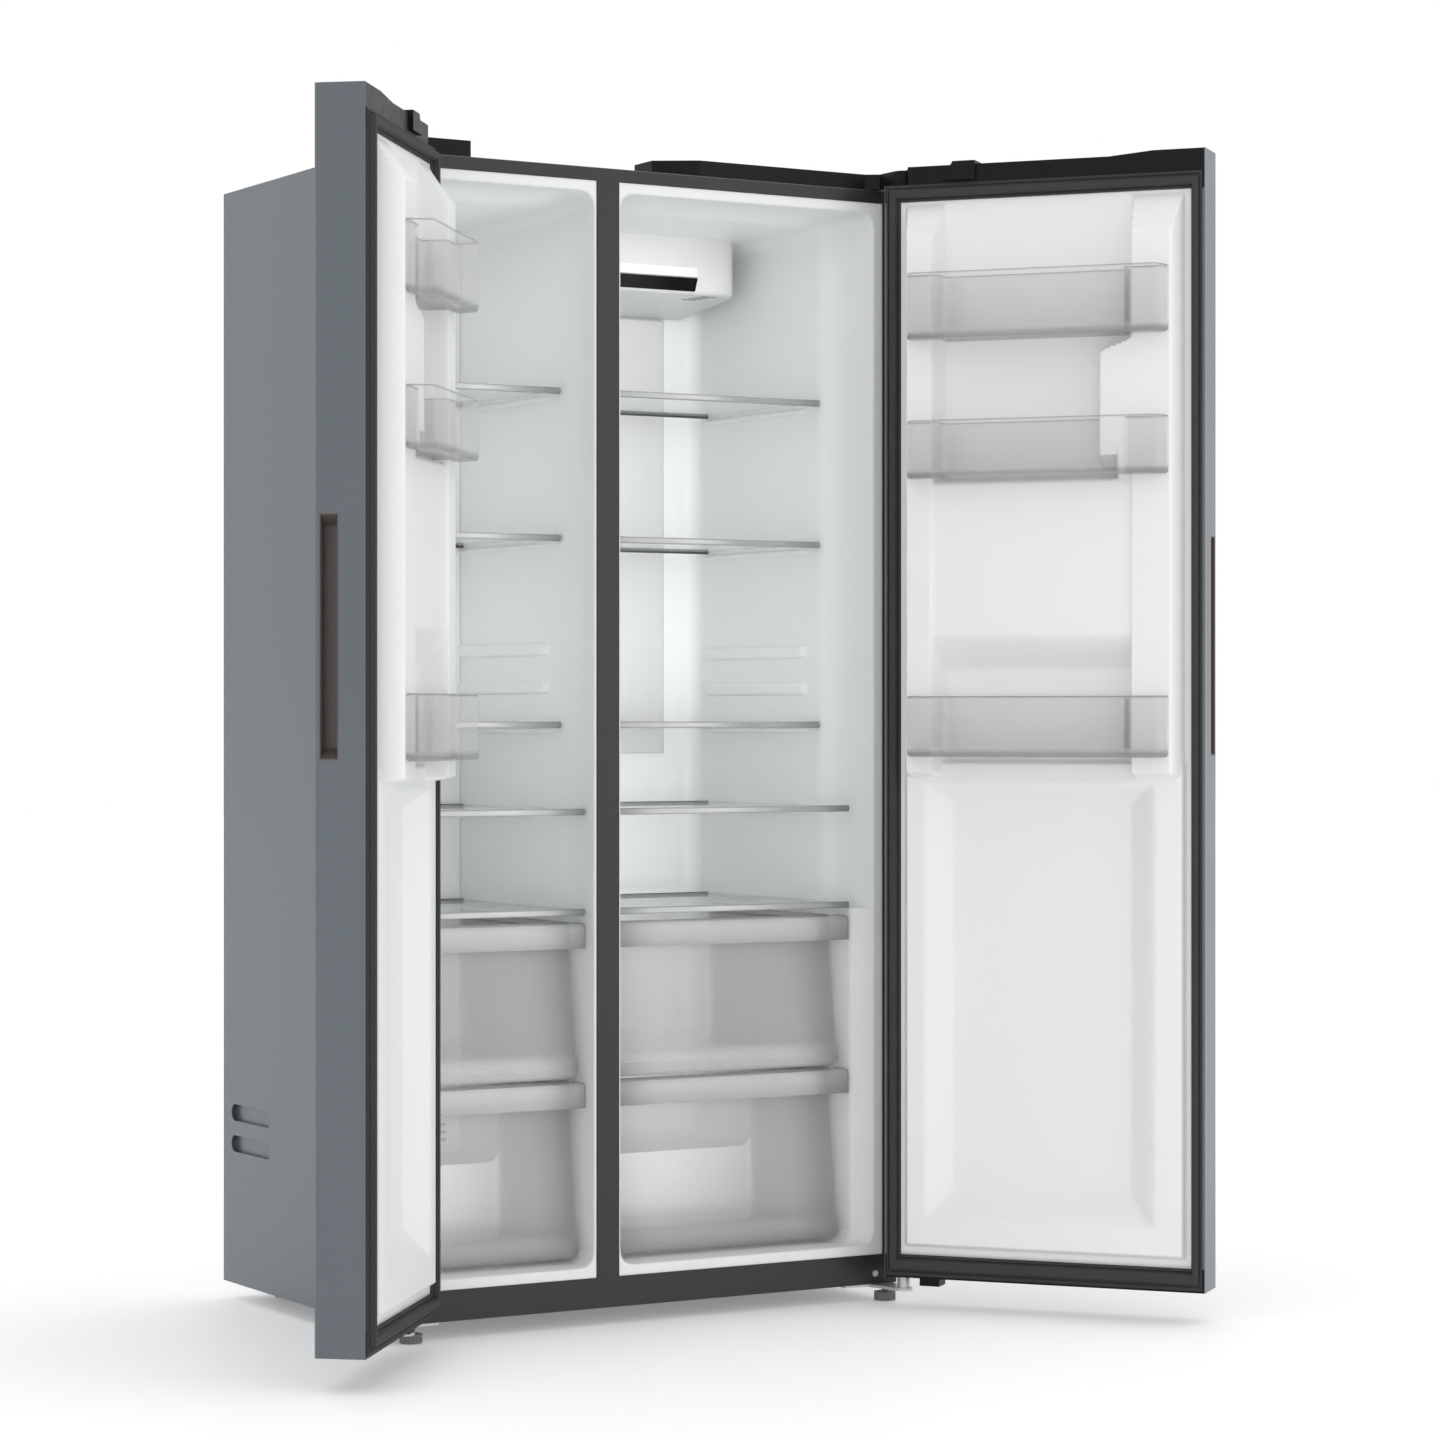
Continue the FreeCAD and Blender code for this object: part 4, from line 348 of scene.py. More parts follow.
# The glass's green-grey edge is partly its own tint and partly painted shade for refraction at the
# edge.
SHELF_GLASS = EdgeShadedClearFinish(
    "shelf_glass", (0.72, 0.76, 0.75), (0.68, 0.72, 0.71), roughness=0.06, rough_spread=0.02,
    grain=8.0, relief=0.00004, relief_grain=120.0, clarity=Clarity.CLEAR, thin_alpha=0.14,
    thick_alpha=0.39, edge_alpha=0.8, edge_tint_and_painted_shade=(0.3, 0.36, 0.34),
)
SHELF_TRIM = Finish(
    "shelf_trim", (0.34, 0.345, 0.35), (0.3, 0.305, 0.31), roughness=0.22, rough_spread=0.05,
    metallic=0.4, grain=20.0, relief=0.00005, relief_grain=800.0,
)
REAR_TRIM = Finish(
    "shelf_rear_trim", (0.05, 0.05, 0.052), (0.08, 0.08, 0.082), relief=0.0001, relief_grain=700.0,
)
FOAM = Finish(
    "foam", (0.83, 0.72, 0.42), (0.7, 0.6, 0.34), roughness=0.9, rough_spread=0.05, grain=60.0,
    relief=0.002, relief_grain=160.0,
)
COIL = Finish(
    "coil", (0.66, 0.67, 0.68), (0.5, 0.51, 0.52), roughness=0.35, rough_spread=0.1, metallic=0.9,
    grain=70.0, relief=0.0001, relief_grain=500.0,
)
FAN_GREY = Finish(
    "fan_grey", (0.08, 0.08, 0.085), (0.11, 0.11, 0.115), roughness=0.5, rough_spread=0.08,
    grain=60.0, relief_grain=600.0, soft_edge=0.001,
)
COMPRESSOR_BLACK = Finish(
    "compressor_black", (0.012, 0.012, 0.012), (0.02, 0.02, 0.02), roughness=0.3, rough_spread=0.08,
    grain=30.0, relief=0.0003, relief_grain=220.0, soft_edge=0.002,
)
BOARD_GREEN = Finish(
    "board_green", (0.02, 0.12, 0.05), (0.03, 0.16, 0.07), roughness=0.45, rough_spread=0.1,
    grain=180.0,
)
FOOT_GREY = Finish(
    "foot_grey", (0.07, 0.07, 0.07), (0.11, 0.11, 0.11), roughness=0.5, rough_spread=0.1,
    grain=90.0, relief_grain=800.0, soft_edge=0.0008,
)
FLOOR_PALE = Finish(
    "floor_pale", (0.985, 0.985, 0.985), (0.975, 0.975, 0.975), roughness=0.6, rough_spread=0.05,
    grain=1.2, relief_grain=40.0, glow=0.14,
)


# ------------------------------------------------------------------ meshes
@dataclass
class MeshBuilder:
    """Gathers grids of points, millimetres, into one mesh."""

    points: list[np.ndarray] = field(default_factory=list)
    faces: list[tuple[int, ...]] = field(default_factory=list)
    marks: list[np.ndarray] = field(default_factory=list)
    count: int = 0

    def grid(
        self,
        rows: np.ndarray,
        round_rows: bool = False,
        round_columns: bool = False,
        close_ends: tuple[bool, bool] = (False, False),
        mark: np.ndarray | None = None,
        flip: bool = False,
    ) -> None:
        """Add a grid of points as quads between neighbours.

        Args:
            rows: array (m, n, 3).
            round_rows: join the last row to the first.
            round_columns: join the last column to the first.
            close_ends: close the first or the last row with one face.
            mark: edge mark, (m, n), 0 to 1.
            flip: turn the faces round.
        """
        m, n, _ = rows.shape
        index = np.arange(m * n).reshape(m, n) + self.count
        i = index if round_rows else index[:-1]
        below = np.roll(index, -1, axis=0) if round_rows else index[1:]
        if round_columns:
            quads = np.stack([i, np.roll(i, -1, 1), np.roll(below, -1, 1), below], -1)
        else:
            quads = np.stack([i[:, :-1], i[:, 1:], below[:, 1:], below[:, :-1]], -1)
        turn = -1 if flip else 1
        self.faces += [tuple(quad) for quad in quads.reshape(-1, 4)[:, ::turn].tolist()]
        for end, wanted in zip((index[0][::-1], index[-1]), close_ends):
            if wanted:
                self.faces.append(tuple(end[::turn].tolist()))
        self.points.append(rows.reshape(-1, 3))
        self.marks.append(np.zeros(m * n) if mark is None else mark.reshape(-1))
        self.count += m * n

    def solid(self, rows: np.ndarray, flip: bool = False, mark: np.ndarray | None = None) -> None:
        """Add a closed body: sections that close on themselves, and a face on both ends."""
        self.grid(rows, round_columns=True, close_ends=(True, True), mark=mark, flip=flip)

    def piece(
        self, name: str, finish: Finish, body: str, slot: str, sharp: float = 40.0
    ) -> bpy.types.Object:
        """Make the object, dress it and let it ride on its body.

        Args:
            name: piece name.
            finish: its finish.
            body: CAD body it moves with.
            slot: not used.
            sharp: angle in degrees over which an edge stays hard.

        Returns:
            The new object.
        """
        mesh = bpy.data.meshes.new(name)
        places = (np.concatenate(self.points) - ORIGIN) * MM
        mesh.from_pydata(places.tolist(), [], self.faces)
        mesh.validate()
        mark = mesh.attributes.new(EDGE_MARK, "FLOAT", "POINT")
        mark.data.foreach_set("value", np.concatenate(self.marks).astype(np.float32))
        mesh.shade_smooth()
        mesh.set_sharp_from_angle(angle=math.radians(sharp))
        obj = bpy.data.objects.new(name, mesh)
        bpy.context.scene.collection.objects.link(obj)
        mesh.materials.append(finish.material())
        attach(obj, body)
        log.info("%s: %d faces", name, len(self.faces))
        return obj


def give_sheet(obj: bpy.types.Object, sheet: float) -> None:
    """Give a surface its wall thickness, in millimetres, away from the room."""
    shell = obj.modifiers.new("sheet", "SOLIDIFY")
    shell.thickness = sheet * MM
    shell.offset = -1.0


def ramp(x: np.ndarray, low: float, high: float) -> np.ndarray:
    """Smooth step: 0 below low, 1 above high, and 3t squared less 2t cubed between."""
    t = np.clip((x - low) / (high - low), 0.0, 1.0)
    return t * t * (3.0 - 2.0 * t)


def hump(x: np.ndarray, rise: float, crest: float, edge: float, foot: float) -> np.ndarray:
    """Smooth step up from rise to crest times a smooth step down from edge to foot."""
    return ramp(x, rise, crest) * (1.0 - ramp(x, edge, foot))


def soft_path(x: np.ndarray, knots: list[float], values: list[float], reach: float) -> np.ndarray:
    """Broken line through the knots, averaged over plus and minus reach so its kinks are round."""
    offsets = np.linspace(-reach, reach, 9)
    return np.interp(x[:, None] + offsets[None, :], knots, values).mean(axis=1)


def quarter_turn(radius: float, steps: int, start: float = 0.0) -> tuple[np.ndarray, np.ndarray]:
    """Points of a quarter circle: radius (1 - sin t) and radius (1 - cos t).

    Args:
        radius: the circle's radius.
        steps: number of points.
        start: first angle t; the last is a right angle.

    Returns:
        The two distances, the first falling to 0 and the second rising from 0.
    """
    t = np.linspace(start, math.pi / 2, steps)
    return radius * (1 - np.sin(t)), radius * (1 - np.cos(t))


def filleted_loop(corners: np.ndarray, reach: np.ndarray, steps: int) -> np.ndarray:
    """Closed polygon with round corners.

    Each corner becomes the quadratic curve (1-s)^2 A + 2s(1-s) C + s^2 B, where A and B lie on
    its two edges at the reach from the corner C.

    Args:
        corners: (k, 2) points in order.
        reach: (k,) distances.
        steps: points for each corner.

    Returns:
        (k * steps, 2) points.
    """
    before = np.roll(corners, 1, axis=0) - corners
    after = np.roll(corners, -1, axis=0) - corners
    len_before = np.linalg.norm(before, axis=1, keepdims=True) + 1e-9
    len_after = np.linalg.norm(after, axis=1, keepdims=True) + 1e-9
    r = reach[:, None]
    start = corners + before / len_before * np.minimum(r, 0.49 * len_before)
    end = corners + after / len_after * np.minimum(r, 0.49 * len_after)
    s = np.linspace(0.0, 1.0, steps)[None, :, None]
    curve = (1 - s) ** 2 * start[:, None] + 2 * s * (1 - s) * corners[:, None] + s**2 * end[:, None]
    return curve.reshape(-1, 2)


def inset_corners(corners: np.ndarray, amount: float) -> np.ndarray:
    """Move every edge of an anticlockwise polygon inward.

    Each corner goes to the crossing of its two moved edges: the edge normals n1 and n2 give the
    move amount * (n1 + n2) / (1 + n1.n2).

    Args:
        corners: (k, 2) points in order.
        amount: how far the edges move.

    Returns:
        (k, 2) moved points.
    """
    along = np.roll(corners, -1, axis=0) - corners
    along = along / (np.linalg.norm(along, axis=1, keepdims=True) + 1e-9)
    normal = np.stack([-along[:, 1], along[:, 0]], axis=1)
    previous = np.roll(normal, 1, axis=0)
    dot = (normal * previous).sum(axis=1, keepdims=True)
    return corners + amount * (normal + previous) / (1.0 + np.maximum(dot, -0.6))


def at_depth(loop: np.ndarray, y: float) -> np.ndarray:
    """(n, 2) points of x and z put at a depth y."""
    return np.stack([loop[:, 0], np.full(len(loop), y), loop[:, 1]], axis=1)


def at_height(loop: np.ndarray, z: float) -> np.ndarray:
    """(n, 2) points of x and y put at a height z."""
    return np.column_stack([loop, np.full(len(loop), z)])


# ------------------------------------------------------------------ cabinet
@dataclass
class Compartment:
    """Formed liner of one half, with its ribs; x of the walls is measured outward.

    Millimetres, in the frame of the whole appliance. The walls lean between the flare's end and
    the depth draft_end; a triple of leans or falls gives the mouth, the flare's end and that depth.
    """

    side: Side
    post: float
    back: float
    opening_half: float = 429.0
    opening_low: float = 72.7
    opening_top: float = 1732.6
    setback: float = 2.0
    lip: float = 3.0
    rim: float = 16.0
    rim_post: float = 4.0
    flare: float = 103.0
    flare_outer: float = 35.0
    draft_outer: float = 15.0
    draft_end: float = 480.0
    drawer_knee: tuple[float, float] = (30.0, 27.0)
    ledge: float = 619.7
    ledge_step: float = 1.0
    post_lean: tuple[float, float, float] = (0.0, 0.8, 7.6)
    floor_rise: tuple[float, float, float] = (0.0, 5.0, 6.5)
    ceiling_fall: tuple[float, float, float] = (0.0, 16.0, 23.0)
    hump_front: float = 308.0
    hump_top: float = 219.0
    corner: float = 26.0
    bevel: float = 24.0
    bevel_fill: float = 0.35
    sheet: float = 1.6
    shelf_levels: tuple[float, ...] = (620.0, 772.0, 904.0, 1191.0, 1417.0)
    spare_ribs: tuple[float, ...] = (978.0, 1037.0)
    drawer_rails: tuple[float, ...] = (354.7, 596.7)
    rib_height: float = 8.0
    spare_height: float = 22.0
    rib_front: float = 140.0
    rail_front: float = 108.0
    rib_reach: float = 4.6
    rib_sink: float = 0.6
    rib_taper: float = 25.0
    rib_stop: float = 40.0

    def outer(self, y: np.ndarray, drawers: bool = False) -> np.ndarray:
        """Distance of the outer wall from the middle: the flare, then the draft, kinks rounded.

        Args:
            y: depths.
            drawers: the wall beside the drawers, which narrows earlier, instead of the one above.

        Returns:
            One distance for each depth.
        """
        rim = self.opening_half - self.rim
        deep = rim - self.flare_outer
        knots = [self.setback, self.flare, self.draft_end]
        if not drawers:
            return soft_path(y, knots, [rim, deep, deep - self.draft_outer], 12.0)
        knee, narrowing = self.drawer_knee
        knots.insert(1, knee)
        deep -= self.ledge_step
        return soft_path(y, knots, [rim, rim - narrowing, deep, deep - self.draft_outer], 3.0)

    def inner(self, y: np.ndarray) -> np.ndarray:
        """Signed x of the wall at the post, measured along the outward direction."""
        knots = [self.setback, self.flare, self.draft_end]
        lean = soft_path(y, knots, list(self.post_lean), 5.0)
        return self.side.sign * self.post + self.rim_post + lean

    def floor(self, y: np.ndarray) -> np.ndarray:
        """Height of the floor: nearly level, then the step over the machines."""
        levels = [self.opening_low + self.rim + rise for rise in self.floor_rise]
        step = [self.hump_front - 4.5, self.hump_front - 3.5]
        knots = [self.setback, self.flare, *step, self.back]
        return soft_path(y, knots, [*levels, self.hump_top, self.hump_top], 2.0)

    def ceiling(self, y: np.ndarray) -> np.ndarray:
        """Height of the ceiling: it falls in the flare and then a little more."""
        levels = [self.opening_top - self.rim - fall for fall in self.ceiling_fall]
        return soft_path(y, [self.setback, self.flare, self.draft_end], levels, 12.0)

    def span(self, y: np.ndarray, gap: float) -> tuple[np.ndarray, np.ndarray]:
        """Outward x of the two ends of a sliding piece, straight in the flare.

        Args:
            y: depths.
            gap: air between the piece and each wall.

        Returns:
            The end at the post and the outer end, for each depth.
        """
        mouth, spread, air = 26.0, 7.5, 0.8
        share = (np.maximum(y, self.flare) - self.flare) / (self.draft_end - self.flare)
        outer = self.opening_half - self.rim - self.flare_outer - self.draft_outer * share - gap
        outer = outer + spread * np.maximum(0.0, self.flare - y) / (self.flare - mouth)
        start = self.side.sign * self.post + self.rim_post + air
        lean = (self.post_lean[2] - self.post_lean[1]) * share
        return start + lean + gap, outer

    def section(self, y: float, inset: float) -> np.ndarray:
        """One closed section: six corners, the ledge over the drawers among them.

        Args:
            y: its depth.
            inset: how far it lies inside the walls; the round corners grow with it.

        Returns:
            (54, 3) points.
        """
        depth = np.array([y])
        low, top = self.floor(depth)[0], self.ceiling(depth)[0]
        post, wide = self.inner(depth)[0], self.outer(depth)[0]
        narrow = min(self.outer(depth, True)[0], wide - 0.2)
        corners = np.array(
            [
                (post, low), (narrow, low), (narrow, self.ledge), (wide, self.ledge), (wide, top),
                (post, top),
            ]
        )
        big = self.corner + self.bevel_fill * max(inset, 0.0)
        small = min(2.0, (wide - narrow) * 0.4)
        reach = np.array([big, big, small, small, big, big])
        return at_depth(filleted_loop(inset_corners(corners, inset), reach, 9), y)

    def rim_loop(self, y: float, grow: float) -> np.ndarray:
        """The white rim's loop at the opening's edge.

        Args:
            y: its depth.
            grow: how far it stays inside the opening.

        Returns:
            (54, 3) points.
        """
        post = self.side.sign * self.post + grow
        wide = self.opening_half - grow
        low, top = self.opening_low + grow, self.opening_top - grow
        outer = [(wide, low), (wide, self.ledge), (wide, self.ledge + 1.0), (wide, top)]
        corners = np.array([(post, low), *outer, (post, top)])
        return at_depth(filleted_loop(corners, np.full(6, 0.6), 9), y)

    def shell(self) -> np.ndarray:
        """All sections from the rim's outer edge over the lip and down to the back wall.

        Returns:
            (m, n, 3) points, x outward.
        """
        rows = [self.rim_loop(self.setback + self.sheet, 0.3), self.rim_loop(self.setback, 0.5)]
        rows += [self.section(self.setback + y, -out) for out, y in zip(*quarter_turn(self.lip, 6))]
        depths = np.concatenate(
            [
                np.linspace(7.0, 40.0, 12),
                np.linspace(46.0, 130.0, 14),
                np.linspace(145.0, self.hump_front - 12, 8),
                np.linspace(self.hump_front - 8, self.hump_front + 2, 21),
                np.linspace(self.hump_front + 25, self.back - 26, 5),
            ]
        )
        rows += [self.section(y, 0.0) for y in depths]
        turn = quarter_turn(self.bevel, 8, 0.1)
        rows += [self.section(self.back - rest, inset) for rest, inset in zip(*turn)]
        return np.stack(rows)

    def rib(self, top: float, height: float, front: float, at_post: bool) -> np.ndarray:
        """A rounded bar along a side wall.

        Across it the reach follows (1 - |t|^4)^(1/2) for t from -1 to 1, and along it the reach
        rises over the first part, so the front end tapers into the wall.

        Args:
            top: level of its upper side.
            height: its full height.
            front: depth of its front end.
            at_post: on the wall at the post instead of the outer one.

        Returns:
            (m, n, 3) points.
        """
        taper = front + self.rib_taper * np.linspace(0, 1, 7) ** 1.5
        y = np.concatenate([taper, [self.back - self.rib_stop]])
        t = np.linspace(-1.0, 1.0, 11)
        bulge = np.sqrt(np.maximum(0.0, 1.0 - np.abs(t) ** 4))
        rise = ramp(y, front - 4.0, front + 22.0)[:, None]
        wall = self.inner(y) if at_post else self.outer(y, top < self.ledge)
        toward = 1.0 if at_post else -1.0
        x = wall[:, None] + toward * (self.rib_reach * bulge * rise - self.rib_sink)
        z = top - height / 2 + height / 2 * t * (0.6 + 0.4 * rise)
        return np.stack([self.side.sign * x, np.broadcast_to(y[:, None], x.shape), z], -1)

    def build(self) -> None:
        """Make the liner in place of its CAD node, and its ribs."""
        name = f"{self.side.value}_liner"
        builder = MeshBuilder()
        rows = self.shell() * np.array([self.side.sign, 1.0, 1.0])
        builder.grid(rows, round_columns=True, close_ends=(False, True), flip=self.side.mirrored)
        piece_name = f"{self.side.value}_formed_liner"
        liner = builder.piece(piece_name, LINER_WHITE, "cabinet", "liner_white")
        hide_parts(name)
        give_sheet(liner, self.sheet)
        bars = [(level - 0.3, self.rib_height, self.rib_front) for level in self.shelf_levels]
        bars += [(level, self.spare_height, self.rib_front) for level in self.spare_ribs]
        bars += [(level, self.rib_height, self.rail_front) for level in self.drawer_rails]
        ribs = MeshBuilder()
        for at_post in (False, True):
            for bar in bars:
                ribs.solid(self.rib(*bar, at_post), flip=self.side.mirrored != at_post)
        ribs.piece(f"{name}_ribs", LINER_WHITE, "cabinet", "liner_white")


@dataclass
class GlassShelf:
    """Glass pane with a bright rounded bar in front and a dark strip behind."""

    compartment: Compartment
    number: int
    low: float
    front: float
    back: float
    gap: float = 1.5
    trim_depth: float = 12.0
    trim_height: float = 10.0
    rear_depth: float = 6.0
    overlap: float = 2.0
    glass: float = 4.0

    def bar(self, y0: float, y1: float, z0: float, z1: float, radius: float) -> MeshBuilder:
        """A bar across the compartment with a rounded section, its ends following the walls.

        Args:
            y0: its front.
            y1: its back.
            z0: its underside.
            z1: its top.
            radius: reach of the round corners; 0.6 of it is bevelled off the two ends.

        Returns:
            A builder with the bar.
        """
        corners = np.array([(y0, z0), (y1, z0), (y1, z1), (y0, z1)])
        bevel = radius * 0.6
        ends = ((0, 0.0, bevel), (0, bevel, 0.0), (1, -bevel, 0.0), (1, 0.0, bevel))
        rows = []
        for end, shift, inset in ends:
            loop = filleted_loop(inset_corners(corners, inset), np.full(4, radius), 7)
            x = self.compartment.span(loop[:, 0], self.gap)[end] + shift
            rows.append(np.stack([self.compartment.side.sign * x, loop[:, 0], loop[:, 1]], -1))
        builder = MeshBuilder()
        builder.solid(np.stack(rows), flip=self.compartment.side.mirrored)
        return builder

    def pane(self) -> MeshBuilder:
        """The glass: a thin slab between the trims with its rim marked as an edge.

        Returns:
            A builder with the pane.
        """
        front = self.front + self.trim_depth - self.overlap
        y = np.linspace(front, self.back - self.rear_depth + self.overlap, 12)[:, None]
        inner, outer = self.compartment.span(y, self.gap)
        x = inner + (outer - inner) * np.array([0.0, 0.004, 0.5, 0.996, 1.0])
        # The marked sides take the glass's edge tint together with painted shade.
        mark = np.zeros((len(y), 10))
        mark[:, [0, 4, 5, 9]] = 1.0
        top = self.low + self.trim_height - 1.0
        upper = np.stack([x, np.broadcast_to(y, x.shape), np.full(x.shape, top)], -1)
        lower = upper[:, ::-1] - np.array([0.0, 0.0, self.glass])
        rows = np.concatenate([upper, lower], axis=1)
        rows[..., 0] *= self.compartment.side.sign
        builder = MeshBuilder()
        builder.solid(rows, flip=self.compartment.side.mirrored, mark=mark)
        return builder

    def build(self) -> None:
        """Make the pane in place of the CAD shelf, and its two trims."""
        name = f"{self.compartment.side.value}_shelf_{self.number}"
        glass = self.pane().piece(f"{name}_glass", SHELF_GLASS, name, "shelf_glass", 30.0)
        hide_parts(name)
        top = self.low + self.trim_height
        front = self.bar(self.front, self.front + self.trim_depth, self.low, top, 3.2)
        front.piece(f"{name}_front_trim", SHELF_TRIM, name, "shelf_glass", 60.0)
        rear = self.bar(self.back - self.rear_depth, self.back, self.low + 2, top, 1.2)
        rear.piece(f"{name}_rear_trim", REAR_TRIM, name, "shelf_glass", 60.0)


@dataclass
class ClearDrawer:
    """Clear tub with a leaning front, a pull lip and side rims."""

    compartment: Compartment
    label: str
    floor: float
    top: float
    back: float
    wall: float = 2.2
    gap: float = 6.0
    lip_gap: float = 1.5
    rim_gap: float = 2.5
    lip_front: float = 26.0
    lip_depth: float = 38.0
    lip_height: float = 38.0
    lean: float = 30.0
    foot: float = 14.0
    corner: float = 10.0
    rim_drop: float = 8.0
    rim_height: float = 3.0

    def tub_loop(self, z: float, inset: float, drop: float) -> np.ndarray:
        """Rounded section of the tub: its front leans and its foot draws in.

        Args:
            z: its height.
            inset: how far it lies inside the outer face.
            drop: how far the foot's round draws the sides in; front and back draw in by half.

        Returns:
            (28, 3) points.
        """
        share = (z - self.floor) / (self.top - self.floor)
        front = self.lip_front + self.lip_depth - self.lean * (1.0 - share) + inset + drop / 2
        back = self.back - inset
        ends = np.array([self.compartment.flare, back])
        inner, outer = self.compartment.span(ends, self.gap + inset + drop)
        back -= drop / 2
        corners = np.array(
            [(inner[0], front), (outer[0], front), (outer[1], back), (inner[1], back)]
        )
        return at_height(filleted_loop(corners, np.full(4, self.corner), 7), z)

    def tub(self) -> tuple[np.ndarray, np.ndarray]:
        """Sections up the outside, over the rim and down the inside.

        Returns:
            (m, n, 3) points and their (m, n) edge marks.
        """
        w = self.wall
        foot = list(zip(*quarter_turn(self.foot, 6)))
        knee = self.floor + 40.0
        # The last value of each step is its edge mark, which sets opacity and painted edge shade.
        steps = [(self.floor + z, 0.0, drop, 0.55) for z, drop in reversed(foot)]
        steps += [(knee, 0.0, 0.0, 0.0), (self.top - 3.0, 0.0, 0.0, 0.0), (self.top, 0.0, 0.0, 0.9)]
        steps += [(self.top, w, 0.0, 0.9), (self.top - 3.0, w, 0.0, 0.0), (knee, w, 0.0, 0.0)]
        steps += [(self.floor + w + z, w, drop, 0.2) for z, drop in foot]
        rows = np.stack([self.tub_loop(*step[:3]) for step in steps])
        marks = np.array([step[3] for step in steps])
        return rows, np.repeat(marks[:, None], rows.shape[1], axis=1)

    def lip(self) -> tuple[np.ndarray, np.ndarray]:
        """Pull lip: a thin hooked section, forward over the front wall and down, along x.

        Returns:
            (m, n, 3) points and their (m, n) edge marks.
        """
        inner, outer = self.compartment.span(np.array([self.compartment.flare]), self.lip_gap)
        x = [inner[0], inner[0] + 1.5, outer[0] + 3.0, outer[0] + 4.5]
        f, t, w = self.lip_front, self.top, self.wall
        section = np.array(
            [
                (f + self.lip_depth + w, t), (f + 7.0, t), (f + 2.0, t - 1.5), (f, t - 7.0),
                (f, t - self.lip_height), (f + w, t - self.lip_height), (f + w, t - 8.0),
                (f + 8.0, t - w), (f + self.lip_depth + w, t - w),
            ]
        )
        rows = np.stack([np.column_stack([np.full(len(section), v), section]) for v in x])
        # The marks darken the lip with painted edge shade, most at its ends and hook.
        mark = np.full(rows.shape[:2], 0.3)
        mark[[0, -1]] = 0.9
        mark[:, [4, 5]] = 0.8
        mark[:, [2, 3]] = 0.5
        return rows, mark

    def rims(self) -> list[np.ndarray]:
        """The two side rims that run on the rails, as thin bars along y.

        Returns:
            Two arrays (2, 4, 3).
        """
        y = np.array([self.compartment.flare, self.back])
        wall = self.compartment.span(y, self.rim_gap)
        tub = self.compartment.span(y, self.gap + 0.5)
        high = self.top - self.rim_drop
        low = high - self.rim_height
        bars = []
        for near, far in zip(wall, tub):
            a, b = np.minimum(near, far), np.maximum(near, far)
            section = ((a, high), (b, high), (b, low), (a, low))
            bars.append(np.stack([np.stack([x, y, np.full(2, z)], -1) for x, z in section], axis=1))
        return bars

    def build(self) -> None:
        """Make the drawer in place of its CAD node."""
        name = f"{self.compartment.side.value}_drawer_{self.label}"
        sign = np.array([self.compartment.side.sign, 1.0, 1.0])
        flip = self.compartment.side.mirrored
        builder = MeshBuilder()
        for rows, mark in (self.tub(), self.lip()):
            builder.solid(rows * sign, flip, mark)
        for bar in self.rims():
            builder.solid(bar * sign, flip)
        drawer = builder.piece(f"{name}_tub", CLEAR_TRAY, name, "clear_plastic", 35.0)
        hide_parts(name)


@dataclass
class ControlHousing:
    """Rounded housing for the controls and lamp under the fridge's ceiling, with painted shade for its
    vent slots.
    """

    left: float = -41.0
    right: float = 336.8
    front: float = 283.0
    back: float = 477.0
    foot: tuple[float, float] = (1607.0, 1584.0)
    ceiling: tuple[float, float] = (1698.0, 1694.5)
    corner: float = 44.0
    small_corner: float = 2.0
    edge: float = 9.0
    vent_count: int = 4
    vent_size: tuple[float, float] = (26.0, 3.4)
    vent_start: tuple[float, float] = (40.0, 14.0)
    vent_step: tuple[float, float] = (7.0, 9.0)

    def level(self, y: np.ndarray, ends: tuple[float, float]) -> np.ndarray:
        """Height at a depth on the line between the heights at the front and the back."""
        return ends[0] + (ends[1] - ends[0]) * (y - self.front) / (self.back - self.front)

    def ring(self, inset: float, rise: float, ends: tuple[float, float]) -> np.ndarray:
        """Plan outline with one large round corner.

        Args:
            inset: how far it lies inside the plan.
            rise: height over the line it follows.
            ends: that line's heights at the front and the back.

        Returns:
            (52, 3) points.
        """
        corners = np.array(
            [
                (self.left, self.front), (self.right, self.front), (self.right, self.back),
                (self.left, self.back),
            ]
        )
        reach = np.full(4, self.small_corner)
        reach[1] = self.corner
        flat = filleted_loop(inset_corners(corners, inset), reach, 13)
        return np.column_stack([flat, self.level(flat[:, 1], ends) + rise])

    def vent_shade(self) -> MeshBuilder:
        """Flat dark patches on the underside, stepped along its slant: painted shade where the vent
        slots open.

        Returns:
            A builder with the painted slot shade.
        """
        builder = MeshBuilder()
        wide, deep = self.vent_size
        for i in range(self.vent_count):
            x = self.right - self.vent_start[0] - self.vent_step[0] * i
            y = self.front + self.vent_start[1] + self.vent_step[1] * i
            corners = np.array([(x - wide, y), (x, y), (x, y + deep), (x - wide, y + deep)])
            z = self.level(corners[:, 1], self.foot)
            builder.solid(np.stack([np.column_stack([corners, z + rise]) for rise in (-0.3, 0.5)]))
        return builder

    def build(self) -> None:
        """Make the housing in place of its CAD node, and the painted shade of its vent slots."""
        rows = [self.ring(a, b, self.foot) for a, b in zip(*quarter_turn(self.edge, 6))]
        rows += [self.ring(0.0, 0.0, self.ceiling), self.ring(0.0, 0.4, self.ceiling)]
        builder = MeshBuilder()
        builder.solid(np.stack(rows))
        housing = builder.piece("fridge_control_housing", HOUSING_WHITE, "cabinet", "liner_white")
        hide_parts("control_housing")
        # Dark patches painted where the shade inside the vent slots would be.
        self.vent_shade().piece("fridge_housing_vents", FAN_GREY, "cabinet", "black_plastic")


